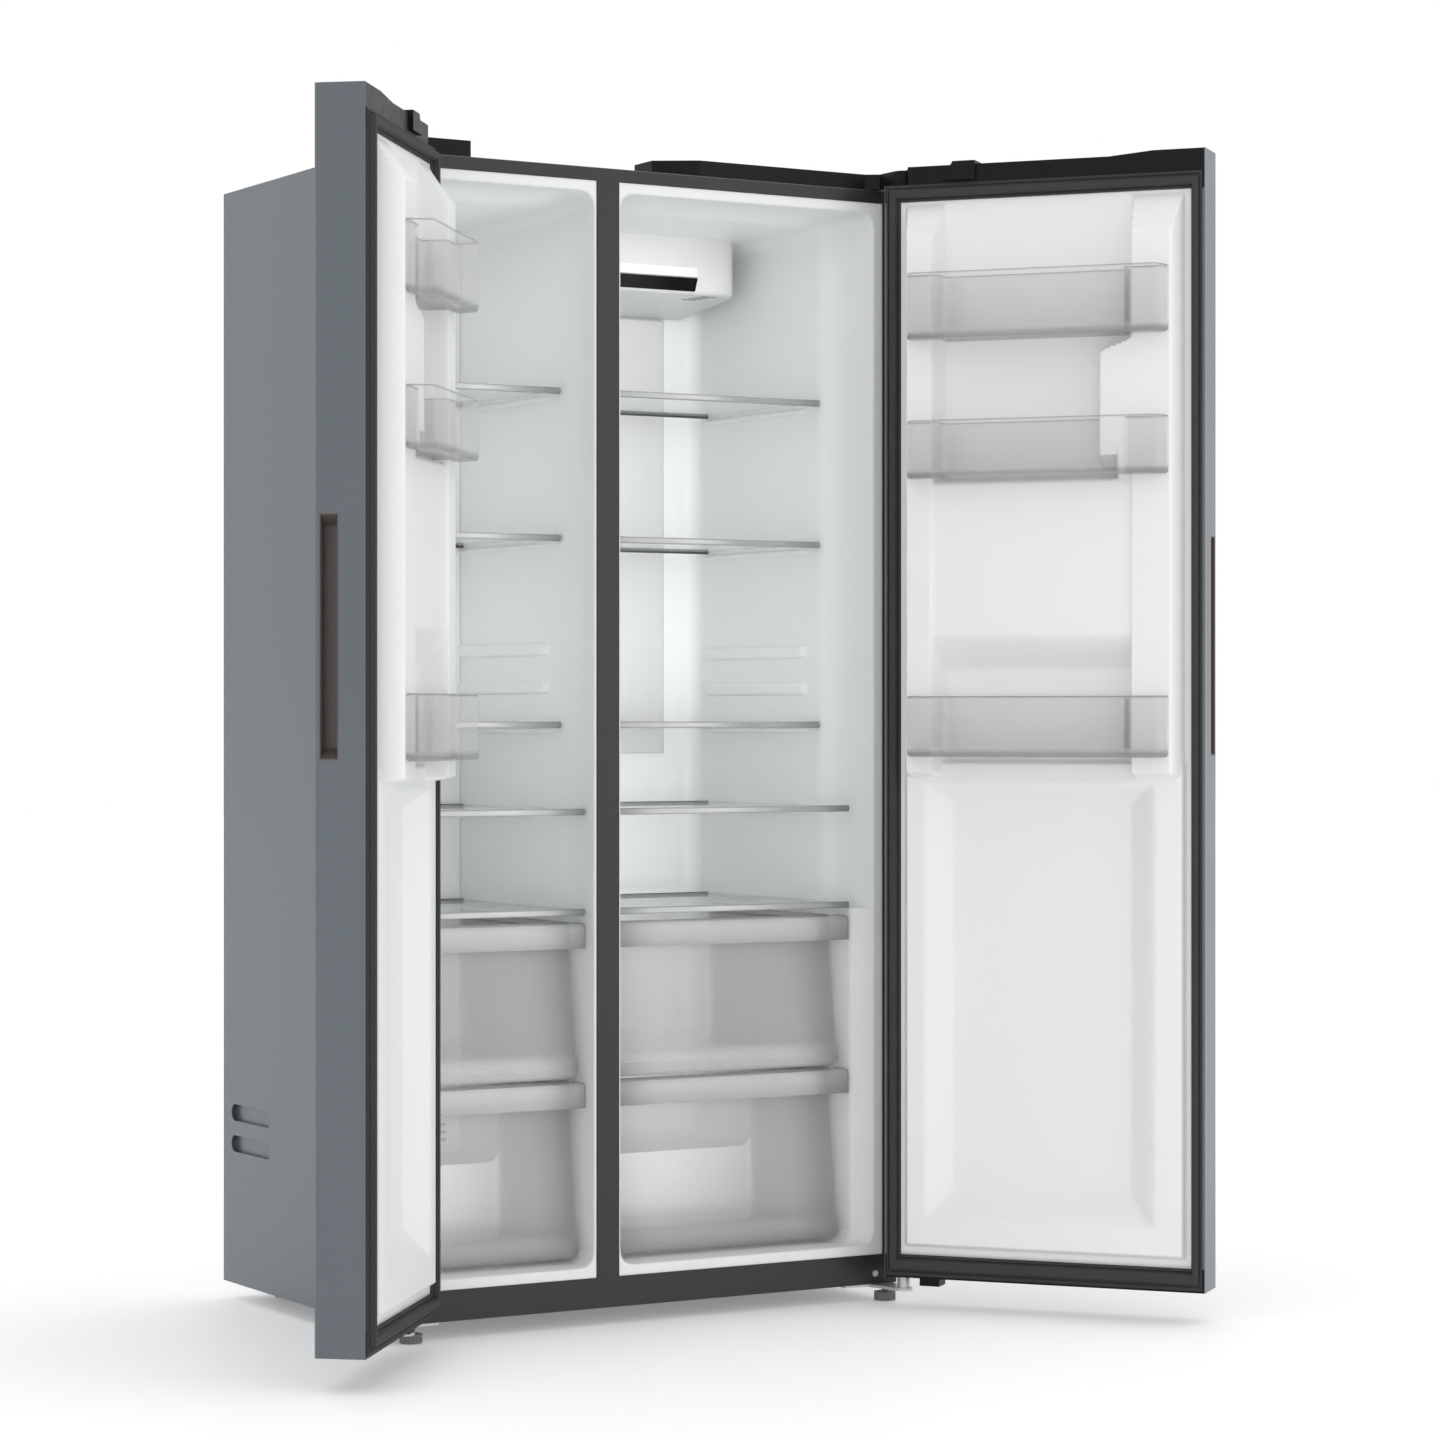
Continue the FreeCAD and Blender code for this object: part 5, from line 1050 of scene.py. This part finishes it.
# ------------------------------------------------------------------ doors
@dataclass
class DoorFrame:
    """Measures of one door and the turn from its closed place to where it rests open."""

    side: Side
    width: float
    open_turn: float
    edge: float = 451.5
    face_y: float = -14.0
    hinge_x: float = 433.0
    hinge_y: float = -53.0

    @property
    def body(self) -> str:
        """Name of the body it moves with."""
        return f"{self.side.value}_door"

    def place(self, u: np.ndarray, h: np.ndarray, z: np.ndarray) -> np.ndarray:
        """Points of the open door: the closed point turned about the hinge's upright axis.

        Args:
            u: distance from the hinge edge.
            h: height off the inner face.
            z: level.

        Returns:
            The three, spread over one another's shape, as points.
        """
        u, h, z = np.broadcast_arrays(u, h, z)
        s = self.side.sign
        dx = s * (self.edge - u) - s * self.hinge_x
        dy = self.face_y + h - self.hinge_y
        a = math.radians(s * self.open_turn)
        x = s * self.hinge_x + dx * math.cos(a) - dy * math.sin(a)
        y = self.hinge_y + dx * math.sin(a) + dy * math.cos(a)
        return np.stack([x, y, z], -1)


@dataclass
class DoorLiner:
    """Formed inner panel of a door as a height over its face.

    A four is a step up and a step down: its foot, crest, crest and foot. The fours across the
    door give the first two from the hinge edge, and the far ones all four from the free edge.
    """

    door: DoorFrame
    low: float = 84.0
    top: float = 1723.0
    inset: float = 14.0
    dike: float = 44.0
    near_ridge: tuple[float, float, float, float] = (35.0, 51.0, 88.0, 100.0)
    far_ridge: tuple[float, float, float, float] = (112.0, 102.0, 44.0, 30.0)
    far_extra: float = 50.0
    far_levels: tuple[float, float, float, float] = (1290.0, 1312.0, 1474.0, 1500.0)
    ridge_foot: tuple[float, float] = (824.0, 836.5)
    ridge_fall: tuple[float, float] = (5.0, 59.0)
    panel: float = 39.0
    panel_sides: tuple[float, float, float, float] = (80.0, 88.0, 100.0, 92.0)
    panel_slope: tuple[float, float] = (994.0, 1046.0)
    panel_top: tuple[float, float] = (1280.0, 1298.0)
    plateau: float = 12.0
    plateau_sides: tuple[float, float, float, float] = (34.0, 41.0, 35.0, 28.0)
    plateau_levels: tuple[float, float, float, float] = (97.0, 104.0, 849.0, 857.0)
    dish: float = 32.0
    sheet: float = 1.6

    def stations(self) -> tuple[np.ndarray, np.ndarray]:
        """Grid lines across and up the door, close together where the surface bends.

        Returns:
            The distances from the hinge edge and the levels.
        """
        w = self.door.width
        across = (
            (self.inset, 30.0, 2), (34.0, 56.0, 15), (60.0, 84.0, 6), (86.0, 112.0, 16),
            (120.0, w - 165.0, 14), (w - 160.0, w - 98.0, 30), (w - 94.0, w - 50.0, 8),
            (w - 47.0, w - 26.0, 15), (w - 20.0, w - self.inset, 2),
        )
        up = (
            (self.low, 92.0, 2), (96.0, 106.0, 6), (112.0, 200.0, 24), (220.0, 770.0, 20),
            (785.0, 865.0, 34), (880.0, 980.0, 8), (988.0, 1050.0, 18), (1070.0, 1250.0, 8),
            (1256.0, 1282.0, 9), (1300.0, 1376.0, 5), (1382.0, 1398.0, 6), (1410.0, 1470.0, 6),
            (1474.0, 1500.0, 9), (1520.0, 1640.0, 8), (1650.0, self.top, 30),
        )
        return tuple(np.concatenate([np.linspace(*span) for span in spans]) for spans in (across, up))

    def ridges(self, u: np.ndarray, z: np.ndarray) -> np.ndarray:
        """Height of the two upright ridges: smooth steps, cut off by a slope at the top.

        Args:
            u: distance from the hinge edge.
            z: level.

        Returns:
            Heights.
        """
        w = self.door.width
        near = hump(u, *self.near_ridge)
        foot, crest, edge, end = self.far_ridge
        widen = self.far_extra * hump(z, *self.far_levels)
        rise = np.clip((u - (w - foot - widen)) / (foot - crest), 0.0, 1.0)
        far = rise**2 * (3 - 2 * rise) * (1.0 - ramp(u, w - edge, w - end))
        height = self.dike * np.maximum(near, far) * ramp(z, *self.ridge_foot)
        start, length = self.ridge_fall
        slope = np.clip((self.top - start - z) / length, 0.0, 1.0)
        return np.minimum(height, self.dike * (slope - 0.03 * np.sin(slope * math.pi)))

    def bin_panel(self, u: np.ndarray, z: np.ndarray) -> np.ndarray:
        """Height of the raised panel over the lowest bin, its foot 0.3 smooth and 0.7 straight.

        Args:
            u: distance from the hinge edge.
            z: level.

        Returns:
            Heights.
        """
        w = self.door.width
        rise, crest, edge, foot = self.panel_sides
        low, high = self.panel_slope
        slope = 0.3 * ramp(z, low, high) + 0.7 * np.clip((z - low) / (high - low), 0.0, 1.0)
        top = 1.0 - ramp(z, *self.panel_top)
        return self.panel * hump(u, rise, crest, w - edge, w - foot) * slope * top

    def low_panel(self, u: np.ndarray, z: np.ndarray) -> np.ndarray:
        """Height of the low raised panel."""
        w = self.door.width
        rise, crest, edge, foot = self.plateau_sides
        return self.plateau * hump(u, rise, crest, w - edge, w - foot) * hump(z, *self.plateau_levels)

    def hollow(self, u: np.ndarray, z: np.ndarray) -> np.ndarray:
        """Depth of the hollow in the low panel.

        Its sides slope in by the nearest of the four edges, 0.75 straight and 0.25 smooth.

        Args:
            u: distance from the hinge edge.
            z: level.

        Returns:
            Depths.
        """
        w = self.door.width
        across = np.minimum((u - 70.0) / 37.0, (w - 76.0 - u) / 44.0)
        edge = np.clip(np.minimum(across, np.minimum((z - 143.0) / 48.0, (819.0 - z) / 29.0)), 0.0, 1.0)
        return self.dish * (0.75 * edge + 0.25 * edge**2 * (3 - 2 * edge))

    def height(self, u: np.ndarray, z: np.ndarray) -> np.ndarray:
        """Height over the door's face: the highest of ridges and panels, less the hollow."""
        raised = np.maximum(self.ridges(u, z), self.bin_panel(u, z))
        return np.maximum(raised, self.low_panel(u, z)) - self.hollow(u, z)

    def build(self) -> None:
        """Make the panel in place of the CAD liner."""
        u, z = np.meshgrid(*self.stations())
        builder = MeshBuilder()
        builder.grid(self.door.place(u, self.height(u, z), z), flip=self.door.side.mirrored)
        body = self.door.body
        panel = builder.piece(f"{body}_formed_liner", LINER_WHITE, body, "liner_white", 55.0)
        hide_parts(f"{body}_liner")
        give_sheet(panel, self.sheet)


@dataclass
class DoorGasket:
    """Ribbed black seal carried round the door as one closed section.

    The section is a row of pairs: the share across the band and the height off the door.
    """

    door: DoorFrame
    hinge_band: tuple[float, float] = (3.0, 27.0)
    free_band: tuple[float, float] = (4.0, 21.0)
    low_band: tuple[float, float] = (51.0, 84.7)
    top_band: tuple[float, float] = (1722.6, 1749.5)
    section: tuple[tuple[float, float], ...] = (
        (0.0, 0.0), (0.02, 1.6), (0.1, 2.0), (0.13, 3.4), (0.17, 3.4), (0.2, 2.0), (0.3, 2.2),
        (0.33, 9.0), (0.38, 12.2), (0.6, 12.6), (0.74, 12.2), (0.79, 9.0), (0.8, 2.6), (0.84, 2.2),
        (0.88, 3.6), (0.9, 3.2), (0.98, 1.8), (1.0, 0.0),
    )

    def build(self) -> None:
        """Sweep the section round the four sides, corners mitred by the bands themselves."""
        share, height = np.array(self.section).T
        h0, h1 = self.hinge_band
        f0, f1 = (self.door.width - x for x in self.free_band)
        low0, low1 = self.low_band
        top1, top0 = self.top_band
        rows = []
        for u0, z0, u1, z1 in (
            (h0, low0, h1, low1), (f0, low0, f1, low1), (f0, top0, f1, top1), (h0, top0, h1, top1),
        ):
            rows.append(self.door.place(u0 + (u1 - u0) * share, height, z0 + (z1 - z0) * share))
        builder = MeshBuilder()
        flip = not self.door.side.mirrored
        builder.grid(np.stack(rows), round_rows=True, round_columns=True, flip=flip)
        body = self.door.body
        seal = builder.piece(f"{body}_ribbed_gasket", RUBBER_BLACK, body, "gasket_rubber", 30.0)
        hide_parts(f"{body}_gasket")


@dataclass
class DoorBin:
    """Clear bin with a neck between the ridges and a wide tray in front of them."""

    door: DoorFrame
    number: int
    low: float
    top: float
    wall: float = 2.2
    corner: float = 7.0
    foot: float = 6.0
    back: float = 6.0
    neck: float = 44.4
    front: float = 83.0

    def outline(self) -> np.ndarray:
        """Eight corners, anticlockwise.

        Returns:
            (8, 2) distances from the hinge edge and heights off the door.
        """
        w = self.door.width
        return np.array(
            [
                (101.0, self.back), (w - 113.0, self.back), (w - 113.0, self.neck),
                (w - 43.0, self.neck), (w - 56.0, self.front), (66.0, self.front),
                (50.0, self.neck), (101.0, self.neck),
            ]
        )

    def loop(self, z: float, inset: float) -> np.ndarray:
        """Rounded outline at a level, moved inward by the inset."""
        flat = filleted_loop(inset_corners(self.outline(), inset), np.full(8, self.corner), 6)
        return self.door.place(flat[:, 0], flat[:, 1], np.full(len(flat), z))

    def build(self) -> None:
        """Make the tray in place of its CAD node.

        Its sections go up the outside, over a rolled rim and down the inside; each step is a
        level, an inset and an edge mark.
        """
        low, top, wall = self.low, self.top, self.wall
        draw, lift = quarter_turn(self.foot, 5)
        # The third value of each step is its edge mark, which sets opacity and painted edge shade at
        # rim and foot.
        steps = [(low + z, inset * 0.6, 0.75) for z, inset in zip(lift, draw)]
        steps += [(low + 14, 0.0, 0.0), (top - 4, 0.0, 0.0), (top - 1, 0.1, 0.6), (top, 0.8, 0.9)]
        steps += [(top, wall - 0.2, 0.9), (top - 4, wall, 0.0), (low + 14, wall, 0.0)]
        steps += [(low + wall + 2, wall + 0.6, 0.3), (low + wall, wall + 3.0, 0.3)]
        rows = np.stack([self.loop(z, inset) for z, inset, _ in steps])
        mark = np.repeat(np.array([step[2] for step in steps])[:, None], rows.shape[1], axis=1)
        builder = MeshBuilder()
        builder.solid(rows, flip=not self.door.side.mirrored, mark=mark)
        name = f"{self.door.side.value}_bin_{self.number}"
        tray = builder.piece(f"{name}_tray", CLEAR_TRAY, name, "clear_plastic", 35.0)
        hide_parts(name)


# ------------------------------------------------------------------ whole
@dataclass(frozen=True)
class Half:
    """Measures in which the freezer's half and the fridge's differ."""

    side: Side
    post: float
    back: float
    shelf_back: float
    door_width: float
    door_turn: float


@dataclass
class Refrigerator:
    """The appliance: dresses the CAD nodes and builds every formed or clear piece.

    The bins are given by their two levels, the drawers by label, floor, top and back.
    """

    halves: tuple[Half, ...] = (
        Half(Side.FREEZER, -85.6, 496.0, 430.0, door_width=388.0, door_turn=130.2),
        Half(Side.FRIDGE, -47.6, 480.0, 440.0, door_width=510.0, door_turn=128.7),
    )
    bins: tuple[tuple[float, float], ...] = ((860.0, 953.0), (1288.0, 1376.0), (1502.0, 1603.0))
    drawers: tuple[tuple[str, float, float, float], ...] = (
        ("lower", 98.0, 366.0, 300.0),
        ("upper", 371.0, 608.0, 428.0),
    )
    deep_shelves: int = 2
    shelf_fronts: tuple[float, float] = (26.0, 103.0)

    def finishes(self) -> dict[str, Finish]:
        """Finish of every CAD node that stays in view.

        Returns:
            Node names with their finishes.
        """
        table = {
            "outer_case": SLATE_PAINT, "rear_panel": ZINC_SHEET, "base_deck": ZINC_SHEET,
            "cabinet_foam": FOAM, "front_frame": FRAME_BLACK, "mullion_cover": FRAME_BLACK,
            "evaporator_cover": HOUSING_WHITE, "evaporator": COIL, "evaporator_fan": FAN_GREY,
            "display_panel": DISPLAY_BLACK, "air_duct": HOUSING_WHITE,
            "hinge_cover_left": CAP_BLACK, "hinge_cover_right": CAP_BLACK,
            "hinge_brackets": BARE_STEEL, "screws": BARE_STEEL, "compressor": COMPRESSOR_BLACK,
            "condenser": COIL, "condenser_fan": FAN_GREY, "drain_pan": FAN_GREY,
            "machine_cover": ZINC_SHEET, "control_board": BOARD_GREEN, "cord_gland": RUBBER_BLACK,
            "foot_left": FOOT_GREY, "foot_right": FOOT_GREY, "rear_rollers": FOOT_GREY,
        }
        for side in Side:
            door = f"{side.value}_door"
            table[f"{door}_skin"] = SLATE_PAINT
            table[f"{door}_caps"] = CAP_BLACK
            table[f"{door}_foam"] = FOAM
            table[f"{door}_handle"] = HANDLE_BRONZE
        return table

    def dress(self) -> None:
        """Give every carried-over CAD node its finish."""
        for node, finish in self.finishes().items():
            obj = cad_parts[node]
            material = finish.material()
            if not obj.material_slots:
                obj.data.materials.append(material)
            for place in obj.material_slots:
                place.material = material
            log.info("%s dressed in %s", node, finish.name)

    def build(self) -> None:
        """Dress the nodes, then build the control housing and both halves."""
        self.dress()
        ControlHousing().build()
        for half in self.halves:
            compartment = Compartment(half.side, half.post, half.back)
            compartment.build()
            for number, level in enumerate(compartment.shelf_levels, 1):
                front = self.shelf_fronts[number > self.deep_shelves]
                GlassShelf(compartment, number, level, front, half.shelf_back).build()
            for drawer in self.drawers:
                ClearDrawer(compartment, *drawer).build()
            door = DoorFrame(half.side, half.door_width, half.door_turn)
            DoorLiner(door).build()
            DoorGasket(door).build()
            for number, levels in enumerate(self.bins, 1):
                DoorBin(door, number, *levels).build()


@dataclass
class Studio:
    """Pale floor, soft lights and the camera, in metres."""

    camera_at: tuple[float, float, float] = (-2.9076, -5.1347, 0.9166)
    look: tuple[float, float, float] = (0.5083, 0.8612, 0.0)
    lens: float = 95.87
    sensor: float = 36.0
    floor_reach: float = 30.0
    floor_level: float = -0.0005
    front_light: tuple[float, float, float] = (2.5, -5.0, 1.6)
    front_aim: tuple[float, float, float] = (0.0, 0.3, 0.9)
    front_size: float = 2.0
    front_power: float = 14.0
    cabinet_lights: tuple[tuple[str, float, float, float], ...] = (
        ("freezer_light", -0.30, 0.26, 1.7),
        ("fridge_light", 0.13, 0.34, 1.85),
    )
    cabinet_height: float = 1.55
    cabinet_spread: float = 75.0

    def floor(self) -> None:
        """A wide flat pale sheet just under the feet."""
        span = np.linspace(-self.floor_reach, self.floor_reach, 41)
        x, y = np.meshgrid(span, span)
        builder = MeshBuilder()
        builder.grid(np.stack([x, y, np.full(x.shape, self.floor_level)], -1))
        mesh = bpy.data.meshes.new("studio_floor")
        mesh.from_pydata(builder.points[0].tolist(), [], builder.faces)
        obj = bpy.data.objects.new("studio_floor", mesh)
        bpy.context.scene.collection.objects.link(obj)
        mesh.materials.append(FLOOR_PALE.material())

    def place(self, data: bpy.types.ID, at: tuple, way: Vector, up: str = "Y") -> bpy.types.Object:
        """Put a light or the camera in the scene.

        Args:
            data: the light's or camera's data.
            at: its place.
            way: the direction it looks.
            up: its own axis that is kept upright.

        Returns:
            The new object.
        """
        obj = bpy.data.objects.new(data.name, data)
        obj.location = at
        obj.rotation_mode = "QUATERNION"
        obj.rotation_quaternion = way.to_track_quat("-Z", up)
        bpy.context.scene.collection.objects.link(obj)
        return obj

    def front(self) -> None:
        """One large square light in front."""
        data = bpy.data.lights.new("front", "AREA")
        data.shape = "SQUARE"
        data.size = self.front_size
        data.energy = self.front_power
        self.place(data, self.front_light, Vector(self.front_aim) - Vector(self.front_light))

    def cabinet(self, name: str, x: float, width: float, power: float) -> None:
        """Tall soft panel in one compartment's mouth that shines only to the back.

        Args:
            name: the light's name.
            x: its place across.
            width: its width.
            power: its watts.
        """
        data = bpy.data.lights.new(name, "AREA")
        data.shape = "RECTANGLE"
        data.size = width
        data.size_y = self.cabinet_height
        data.spread = math.radians(self.cabinet_spread)
        data.energy = power
        obj = self.place(data, (x, -0.1, 0.9), Vector((0.0, 1.0, 0.0)), "Z")
        obj.visible_camera = False
        obj.visible_glossy = False

    def world(self) -> None:
        """Even white surroundings."""
        world = bpy.data.worlds.new("studio")
        world.use_nodes = True
        back = world.node_tree.nodes["Background"]
        back.inputs["Color"].default_value = (1.0, 1.0, 1.0, 1.0)
        back.inputs["Strength"].default_value = 1.0
        bpy.context.scene.world = world

    def camera(self) -> None:
        """Long lens held level at the viewing angle."""
        data = bpy.data.cameras.new("view")
        data.lens = self.lens
        data.sensor_width = self.sensor
        data.clip_end = 200.0
        bpy.context.scene.camera = self.place(data, self.camera_at, Vector(self.look))

    def build(self) -> None:
        """Set the stage."""
        self.floor()
        self.world()
        self.front()
        for light in self.cabinet_lights:
            self.cabinet(*light)
        self.camera()
        bpy.context.scene.view_settings.view_transform = "Standard"


def main() -> None:
    """Build the stage and the appliance."""
    logging.basicConfig(level=logging.INFO, format="%(name)s: %(message)s")
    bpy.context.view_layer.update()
    Studio().build()
    Refrigerator().build()


if __name__ == "__main__":
    main()
